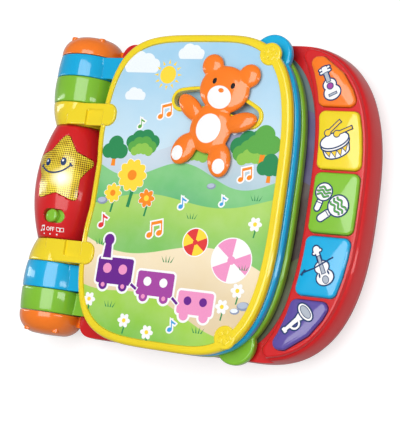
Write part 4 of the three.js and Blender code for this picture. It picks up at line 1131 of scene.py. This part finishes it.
# Cover picture: a meadow with a toy train, flowers, trees and balls
class Scenery(Artwork):
    """Things of the meadow, each drawn at (x, y) in its own size."""

    def set_at(self, x, y, size=1.0, turn=0.0):
        self.at = dict(dx=x, dy=y, turn=turn, scale=size)

    def cloud(self, x, y, size):
        self.set_at(x, y, size)
        puffs = [(-1.6, 0, 0.9), (-0.6, 0.5, 1.2), (0.6, 0.35, 1.1), (1.6, 0, 0.8)]
        self.shapes([circle(*puff, 32) for puff in puffs] + [capsule(0, -0.45, 4.6, 0.95)], "cloud")

    def peak(self, x, y, width, height, tone):
        self.set_at(x, y)
        hill = [(-0.5, 0), (0.5, 0), (0.06, 1), (-0.06, 1)]
        snow = [(-0.2, 0.68), (-0.08, 0.76), (0, 0.64), (0.1, 0.78), (0.2, 0.68), (0.06, 1), (-0.06, 1)]
        for points, colour in ((hill, tone), (snow, "cloud")):
            self.shapes([[(u * width, v * height) for u, v in points]], colour)

    def bush(self, x, y, size):
        """A hedge of round leaf masses in three tones, the lightest in front."""
        self.set_at(x, y, size)
        for tone, dy, share in (("pine", 0.55, 1.0), ("leaf", 0.2, 0.86), ("lime", -0.2, 0.66)):
            for dx, up, r in ((-0.95, 0, 0.5), (-0.4, 0.28, 0.6), (0.25, 0.32, 0.64), (0.85, 0.05, 0.52)):
                self.shapes([circle(dx * share, (dy + up) * share, r * share, 36)], tone)

    def sun(self, x, y):
        self.set_at(x, y)
        rays = [moved([(8.2, -1.0), (11.6, 0), (8.2, 1.0)], turn=pi * i / 6) for i in range(12)]
        self.shapes([circle(0, 0, 6.6, 40)] + rays, "sun")

    def tree(self, x, y, size, tone):
        self.set_at(x, y, size)
        self.shapes([[(-0.18, -1), (0.18, -1), (0.12, 0), (-0.12, 0)]], "orange")
        for crown in ((-0.55, 0.1, 0.55), (0.55, 0.1, 0.55), (0, 0.6, 0.65), (0, 0.1, 0.6)):
            self.shapes([circle(*crown, 32)], tone)

    def flower(self, x, y, size, petals, heart, count):
        self.set_at(x, y, size)
        self.shapes([stroke([(0, 0), (0.2, -1.4), (0, -2.6)], 0.3)], "pine")
        angles = [2 * pi * i / count for i in range(count)]
        outlines = [ellipse(0.75 * cos(a), 0.75 * sin(a), 0.6, 0.38, a, 24) for a in angles]
        self.shapes(outlines, petals, "white", 0.4)
        self.shapes([circle(0, 0, 0.42, 24)], heart)

    def ball(self, x, y, radius, first, second):
        self.set_at(x, y)
        self.shapes([circle(0, 0, radius)], first, "white", 0.8)
        for i in range(3):
            start = 2 * pi * i / 3 + 0.4
            self.shapes([[(0, 0)] + arc(0, 0, radius, start, start + pi / 3, 14)], second)
        self.shapes([circle(0, 0, radius * 0.2, 24)], first)

    def wagon(self, x, y, width, height, colour, light):
        self.set_at(x, y)
        wheels = [circle(dx * width, -height / 2 - 1.0, 3.6, 36) for dx in (-0.28, 0.28)]
        corners = rectangle(-width / 2, -height / 2, width / 2, height / 2)
        self.shapes([fillet([(*corner, 2) for corner in corners])] + wheels, colour, "white", 1.6)
        windows = [circle(dx * width, 0.08 * height, height * 0.19, 28) for dx in (-0.22, 0.22)]
        self.shapes(windows, light)
        self.shapes([shrink(wheel, 0.55) for wheel in wheels], "pink")

    def note(self, x, y, size, colour, double):
        self.set_at(x, y, size, 0.15)
        outlines = [ellipse(0, 0, 1.3, 1.05, 0.3, 24), stroke([(1.05, 0.2), (1.05, 4.4)], 0.55)]
        if double:
            outlines += [ellipse(4.2, 0.5, 1.3, 1.05, 0.3, 24), stroke([(5.25, 0.7), (5.25, 4.9)], 0.55),
                         [(0.8, 3.6), (5.5, 4.1), (5.5, 5.3), (0.8, 4.8)]]
        else:
            outlines.append([(0.8, 3.2), (2.9, 2.1), (3.4, 2.6), (0.8, 4.5)])
        self.shapes(outlines, colour, "white", 1.1)

    def tuft(self, x, y, size):
        self.set_at(x, y, size)
        for lean in (-0.6, -0.2, 0.2, 0.6):
            blade = [(lean - 0.12, 0), (lean + 0.12, 0), (lean * 1.9, 1.2 - abs(lean) * 0.4)]
            self.shapes([blade], "pine")

    def stone(self, x, y, size, tone):
        self.set_at(x, y, size)
        self.shapes([ellipse(0, 0, 1, 0.6, 0.1, 28)], "slate")
        self.shapes([ellipse(-0.12, 0.12, 0.78, 0.42, 0.1, 28)], tone)

    def couplings(self):
        """Two links between the wagons, and the engine's chimney."""
        self.set_at(0, 0)
        links = [stroke([(-29, -70), (-24, -73)], 2.0), stroke([(6, -76), (11, -80)], 2.0)]
        self.shapes(links, "purple", "white", 0.8)
        chimney = [(-56, -53), (-49, -53), (-50, -42), (-55, -42)]
        self.shapes([chimney, circle(-52.5, -40, 4.2, 28)], "purple", "white", 1.4)


def cover_picture():
    art = Scenery(WEB_TOP + PRINT_T)
    for draw, things in (
        (art.cloud, [(-48, 90, 6.2), (-8, 99, 4.4), (-50, 67, 3.6)]),
        (art.peak, [(36, 30, 44, 17, "slate"), (14, 30, 34, 20, "haze")]),
        (art.bush, [(8, 25, 11), (-37, 27, 10), (53, 26, 13)]),
        (art.sun, [(-25, 83)]),
        (art.tree, [(60, 34, 12.0, "leaf"), (67, 18, 9.0, "pine"), (-60, 24, 10.0, "pine")]),
        (art.flower, [(-42, 8, 9.0, "sun", "orange", 10), (-56, -6, 5.4, "sun", "orange", 8),
                      (-27, -8, 5.0, "orange", "sun", 7)]),
        (art.ball, [(48, -46, 15.0, "pink", "white"), (18, -36, 9.5, "red", "sun")]),
        (art.wagon, [(-44, -62, 30, 19, "purple", "pink"), (-9, -68, 30, 17, "violet", "white"),
                     (25, -78, 28, 16, "pink", "purple")]),
        (art.couplings, [()]),
        (art.note, [(-26, 52, 1.7, "orange", True), (-42, 44, 1.3, "leaf", False),
                    (2, -12, 1.5, "sky", False), (46, 10, 1.6, "orange", True),
                    (34, -8, 1.2, "sky", False), (-62, -30, 1.8, "red", False),
                    (-20, -34, 1.9, "orange", True), (8, -98, 1.5, "sky", False)]),
        (art.tuft, [(-60, -44, 4.2), (12, -20, 4.0), (-2, -52, 4.6), (60, -4, 4.0), (30, -98, 4.6),
                    (-44, -88, 4.4), (58, -52, 3.6)]),
        (art.stone, [(62, -76, 5.0, "haze"), (56, -80, 3.6, "cloud"), (-64, -12, 4.4, "haze"),
                     (24, 4, 3.6, "haze")]),
        (art.flower, [(x, y, 3.6, "white", "sun", 6) for x, y in
                      ((-30, -96), (-10, -102), (46, -78), (56, -66), (62, -20), (-62, -84))]),
    ):
        for thing in things:
            draw(*thing)
    art.done("cover_picture", "yellow_leaf_body", "meadow_print")


# Pages: bands are (level, slope, swing, length, phase, near colour, far colour)
SKY = ((158, 204, 232), (216, 234, 242))
MEADOW = [
    (34, 0.10, 6, 120, 0.4, (168, 196, 208), (196, 212, 226)),
    (12, -0.05, 7, 95, 1.6, (70, 170, 110), (120, 196, 120)),
    (-8, 0.06, 5, 130, 3.0, (120, 190, 90), (166, 208, 90)),
    (-44, -0.10, 8, 150, 0.2, (222, 200, 160), (240, 222, 186)),
    (-84, -0.22, 5, 110, 2.2, (112, 186, 60), (158, 206, 70)),
]
SHORE = [
    (20, 0.0, 4, 80, 0.0, (90, 190, 220), (150, 214, 232)),
    (-20, 0.08, 6, 110, 1.0, (236, 208, 150), (246, 226, 178)),
    (-70, 0.0, 5, 90, 2.0, (120, 190, 80), (160, 208, 96)),
]
BLOSSOM = [
    (30, 0.0, 8, 100, 0.7, (238, 150, 190), (250, 196, 216)),
    (-30, 0.1, 6, 120, 2.4, (150, 204, 120), (186, 220, 130)),
]
# Base page print seen in the gap between the leaves and the key panel: printed bands whose colours are
# darkened as painted shade of that gap
MARGIN_PRINT_AND_SHADE = [
    (60, 0.0, 6, 60, 0.0, (74, 68, 112), (88, 82, 126)),
    (10, 0.0, 6, 70, 1.0, (52, 38, 32), (68, 50, 42)),
    (-40, 0.0, 5, 50, 2.0, (62, 72, 34), (74, 84, 42)),
]
LEAF_BODIES = ("green_leaf_body", "blue_leaf_body", "yellow_leaf_body")


def leaf_print(name, level, front, material, slot, cutters=()):
    web = web_bottom(level)
    z0 = web + LEAF_WEB if front else web - PRINT_T
    outline = offset(leaf_outline(level, *RIM), -CLEAR)
    piece = prism(name + "_sheet", outline, z0, z0 + PRINT_T, material)
    if cutters:
        cut(piece, *cutters)
    place(piece, LEAF_BODIES[level], slot, name)


def page_dots(name, level, front, slot, tones, phase):
    """Round blossoms strewn over an inner page in rows that lean with the hills."""
    web = web_bottom(level)
    z = web + LEAF_WEB + PRINT_T if front else web - PRINT_T
    art = Artwork(z, layer=0.01 if front else -0.01)
    for row in range(4):
        for column in range(5):
            cx = -52 + 26 * column + 7 * sin(2.1 * row + phase)
            cy = -84 + 26 * row + 6 * cos(1.7 * column + phase)
            size = 2.6 + 1.3 * sin(1.3 * column + row + phase)
            petals = [circle(cx + size * cos(a), cy + size * sin(a), 0.62 * size, 20)
                      for a in [2 * pi * i / 5 + row for i in range(5)]]
            art.shapes(petals, tones[(row + column) % len(tones)])
            art.shapes([circle(cx, cy, 0.5 * size, 20)], "sun")
    art.done(name, LEAF_BODIES[level], slot)


def pages():
    meadow = landscape("print_meadow", *SKY, MEADOW)
    shore = landscape("print_shore", *SKY, SHORE)
    blossom = landscape("print_blossom", (250, 214, 228), (252, 236, 214), BLOSSOM)
    # The base page's print is given darkened colours, a painted shade of the gap beside the leaf stack
    margin_print_and_shade = landscape("print_margin_with_painted_shade", (80, 110, 110), (90, 90, 120), MARGIN_PRINT_AND_SHADE)
    holes = [prism("hole", slot_outline(SLOT_RIM + CLEAR), WEB_TOP - 1, COVER_TOP)]
    holes.append(prism("strap_hole", strap_outline(CLEAR), WEB_TOP - 1, COVER_TOP + 1))
    holes.append(mirror_y(holes[1], "strap_hole_low"))
    window = prism("window", slot_outline(SLOT_RIM + 2), leaf_bottom(2) - 1, COVER_TOP)
    leaf_print("cover_front_print", 2, True, meadow, "meadow_print", holes)
    leaf_print("cover_back_print", 2, False, blossom, "pink_print", [window])
    leaf_print("blue_leaf_front_print", 1, True, shore, "meadow_print")
    leaf_print("blue_leaf_back_print", 1, False, meadow, "sky_print")
    leaf_print("green_leaf_front_print", 0, True, blossom, "sky_print")
    leaf_print("green_leaf_back_print", 0, False, shore, "sand_print")
    page_dots("blue_front_blossoms", 1, True, "meadow_print", ("red", "white", "violet"), 0.3)
    page_dots("green_front_blossoms", 0, True, "sky_print", ("white", "orange"), 1.1)
    page_dots("green_back_blossoms", 0, False, "sand_print", ("red", "white"), 2.0)
    page_dots("blue_back_blossoms", 1, False, "sky_print", ("white", "pink"), 2.9)
    page = prism("base_page_sheet", leaf_outline(0, 2, -5, 1), FLOOR, FLOOR + PRINT_T, margin_print_and_shade)
    place(page, "base", "page_print", "base_page_print")


# Finishes of the carried-over pieces
CARRIED = {
    "white": ["star_reflector", "bear_retainer"],
    "board": ["star_led_board", "key_board"],
    "led": ["star_led"],
    "black": ["mode_switch_body", "speaker"],
    "rubber": ["key_dome_mat"],
    "cone": ["speaker_cone"],
    "red": ["battery_door"],
    "cell": ["battery_cell_1", "battery_cell_2"],
    "steel": ["hinge_shaft_upper", "hinge_shaft_lower", "bear_screw", "battery_door_screw",
              "contact_spring", "contact_plate", *(f"case_screw_{i}" for i in range(1, 7))],
}


def carried_over():
    for finish, names in CARRIED.items():
        for name in names:
            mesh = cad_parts[name].data
            mesh.materials.clear()
            mesh.materials.append(MAT[finish])


# Camera, light and floor
def camera():
    """The photograph's view: its angles were fitted to measured points with the sizes held."""
    azimuth, pitch, roll = 0.52334, 0.12820, 0.15006
    distance, focal_px = 0.9, 1251.2
    frame_w, frame_h = 400, 433
    centre_px = (196.8, 195.9)
    c = Vector((sin(azimuth) * cos(pitch), -sin(pitch), cos(azimuth) * cos(pitch)))
    right = Vector((0, 1, 0)).cross(c).normalized()
    up = c.cross(right)
    right_rolled = cos(roll) * right + sin(roll) * up
    up_rolled = -sin(roll) * right + cos(roll) * up
    data = bpy.data.cameras.new("camera")
    data.sensor_width = 36.0
    data.lens = focal_px * data.sensor_width / frame_h
    data.shift_x = (frame_w / 2 - centre_px[0]) / frame_h
    data.shift_y = -(frame_h / 2 - centre_px[1]) / frame_h
    data.clip_end = 20.0
    made = link("camera", data)
    turn = Matrix((right_rolled, up_rolled, c)).transposed()
    made.matrix_world = Matrix.Translation(Vector((0, 0, 0.025)) + c * distance) @ turn.to_4x4()
    bpy.context.scene.camera = made


def lamp(name, place_at, target, size, power):
    data = bpy.data.lights.new(name, "AREA")
    data.shape = "RECTANGLE"
    data.size, data.size_y = size
    data.energy = power
    made = link(name, data)
    made.location = place_at
    made.rotation_euler = (Vector(target) - Vector(place_at)).to_track_quat("-Z", "Y").to_euler()


def studio():
    """A wide softbox overhead, a strip low at the left and a narrow one at the right."""
    lamp("softbox_top", (0.1, 0.1, 1.2), (0.1, 0.1, 0.0), (0.92, 1.0), 12.5)
    lamp("strip_left", (-1.25, 0.05, 0.22), (-0.107, 0.0, 0.03), (0.12, 1.3), 2.4)
    lamp("strip_right", (1.15, -0.1, 0.5), (0.1, 0.0, 0.03), (0.16, 1.2), 3.8)
    world = bpy.data.worlds.new("studio")
    world.use_nodes = True
    sky = world.node_tree.nodes["Background"].inputs
    sky["Color"].default_value = (1, 1, 1, 1)
    sky["Strength"].default_value = 0.26
    bpy.context.scene.world = world
    bm = bmesh.new()
    bmesh.ops.create_grid(bm, x_segments=1, y_segments=1, size=4000.0)
    mesh = to_mesh("floor", bm)
    mesh.materials.append(floor_material())
    floor = link("floor", mesh)
    floor.location.z = -0.0002


def floor_material():
    """White sweep: the lamps' light and shadow, lifted to white for the camera."""
    nodes = Nodes("floor_white")
    path = nodes.node("ShaderNodeLightPath")
    nodes.shader(Base_Color=(0.5, 0.5, 0.5, 1), Roughness=0.8, Emission_Color=(1, 1, 1, 1),
                 Emission_Strength=nodes.mul(path.outputs["Is Camera Ray"], 0.62))
    return nodes.material


base_top()
base_bottom()
for key_name, (low_end, high_end, key_colour) in KEYS.items():
    key(key_name, low_end, high_end, key_colour)
star_housing()
star_lens()
star_face()
switch_signs()
slider_track()
mode_slider()
spine_cap("spine_cap_top", 1)
spine_cap("spine_cap_bottom", -1)
inner_leaf("green_leaf", 0, -TAB_Y, "wide", "outer", "green")
inner_leaf("blue_leaf", 1, TAB_Y, "outer", "wide", "blue")
yellow_leaf()
pages()
bear()
bear_face()
for key_name, draw_on in KEY_ART.items():
    picture = Picture(PLATEAU + KEY_PROUD + 0.01)
    draw_on(picture)
    picture.done("picture_" + key_name, key_name + "_body", "white")
cover_picture()
carried_over()
studio()
camera()

bpy.context.scene.view_settings.view_transform = "Standard"
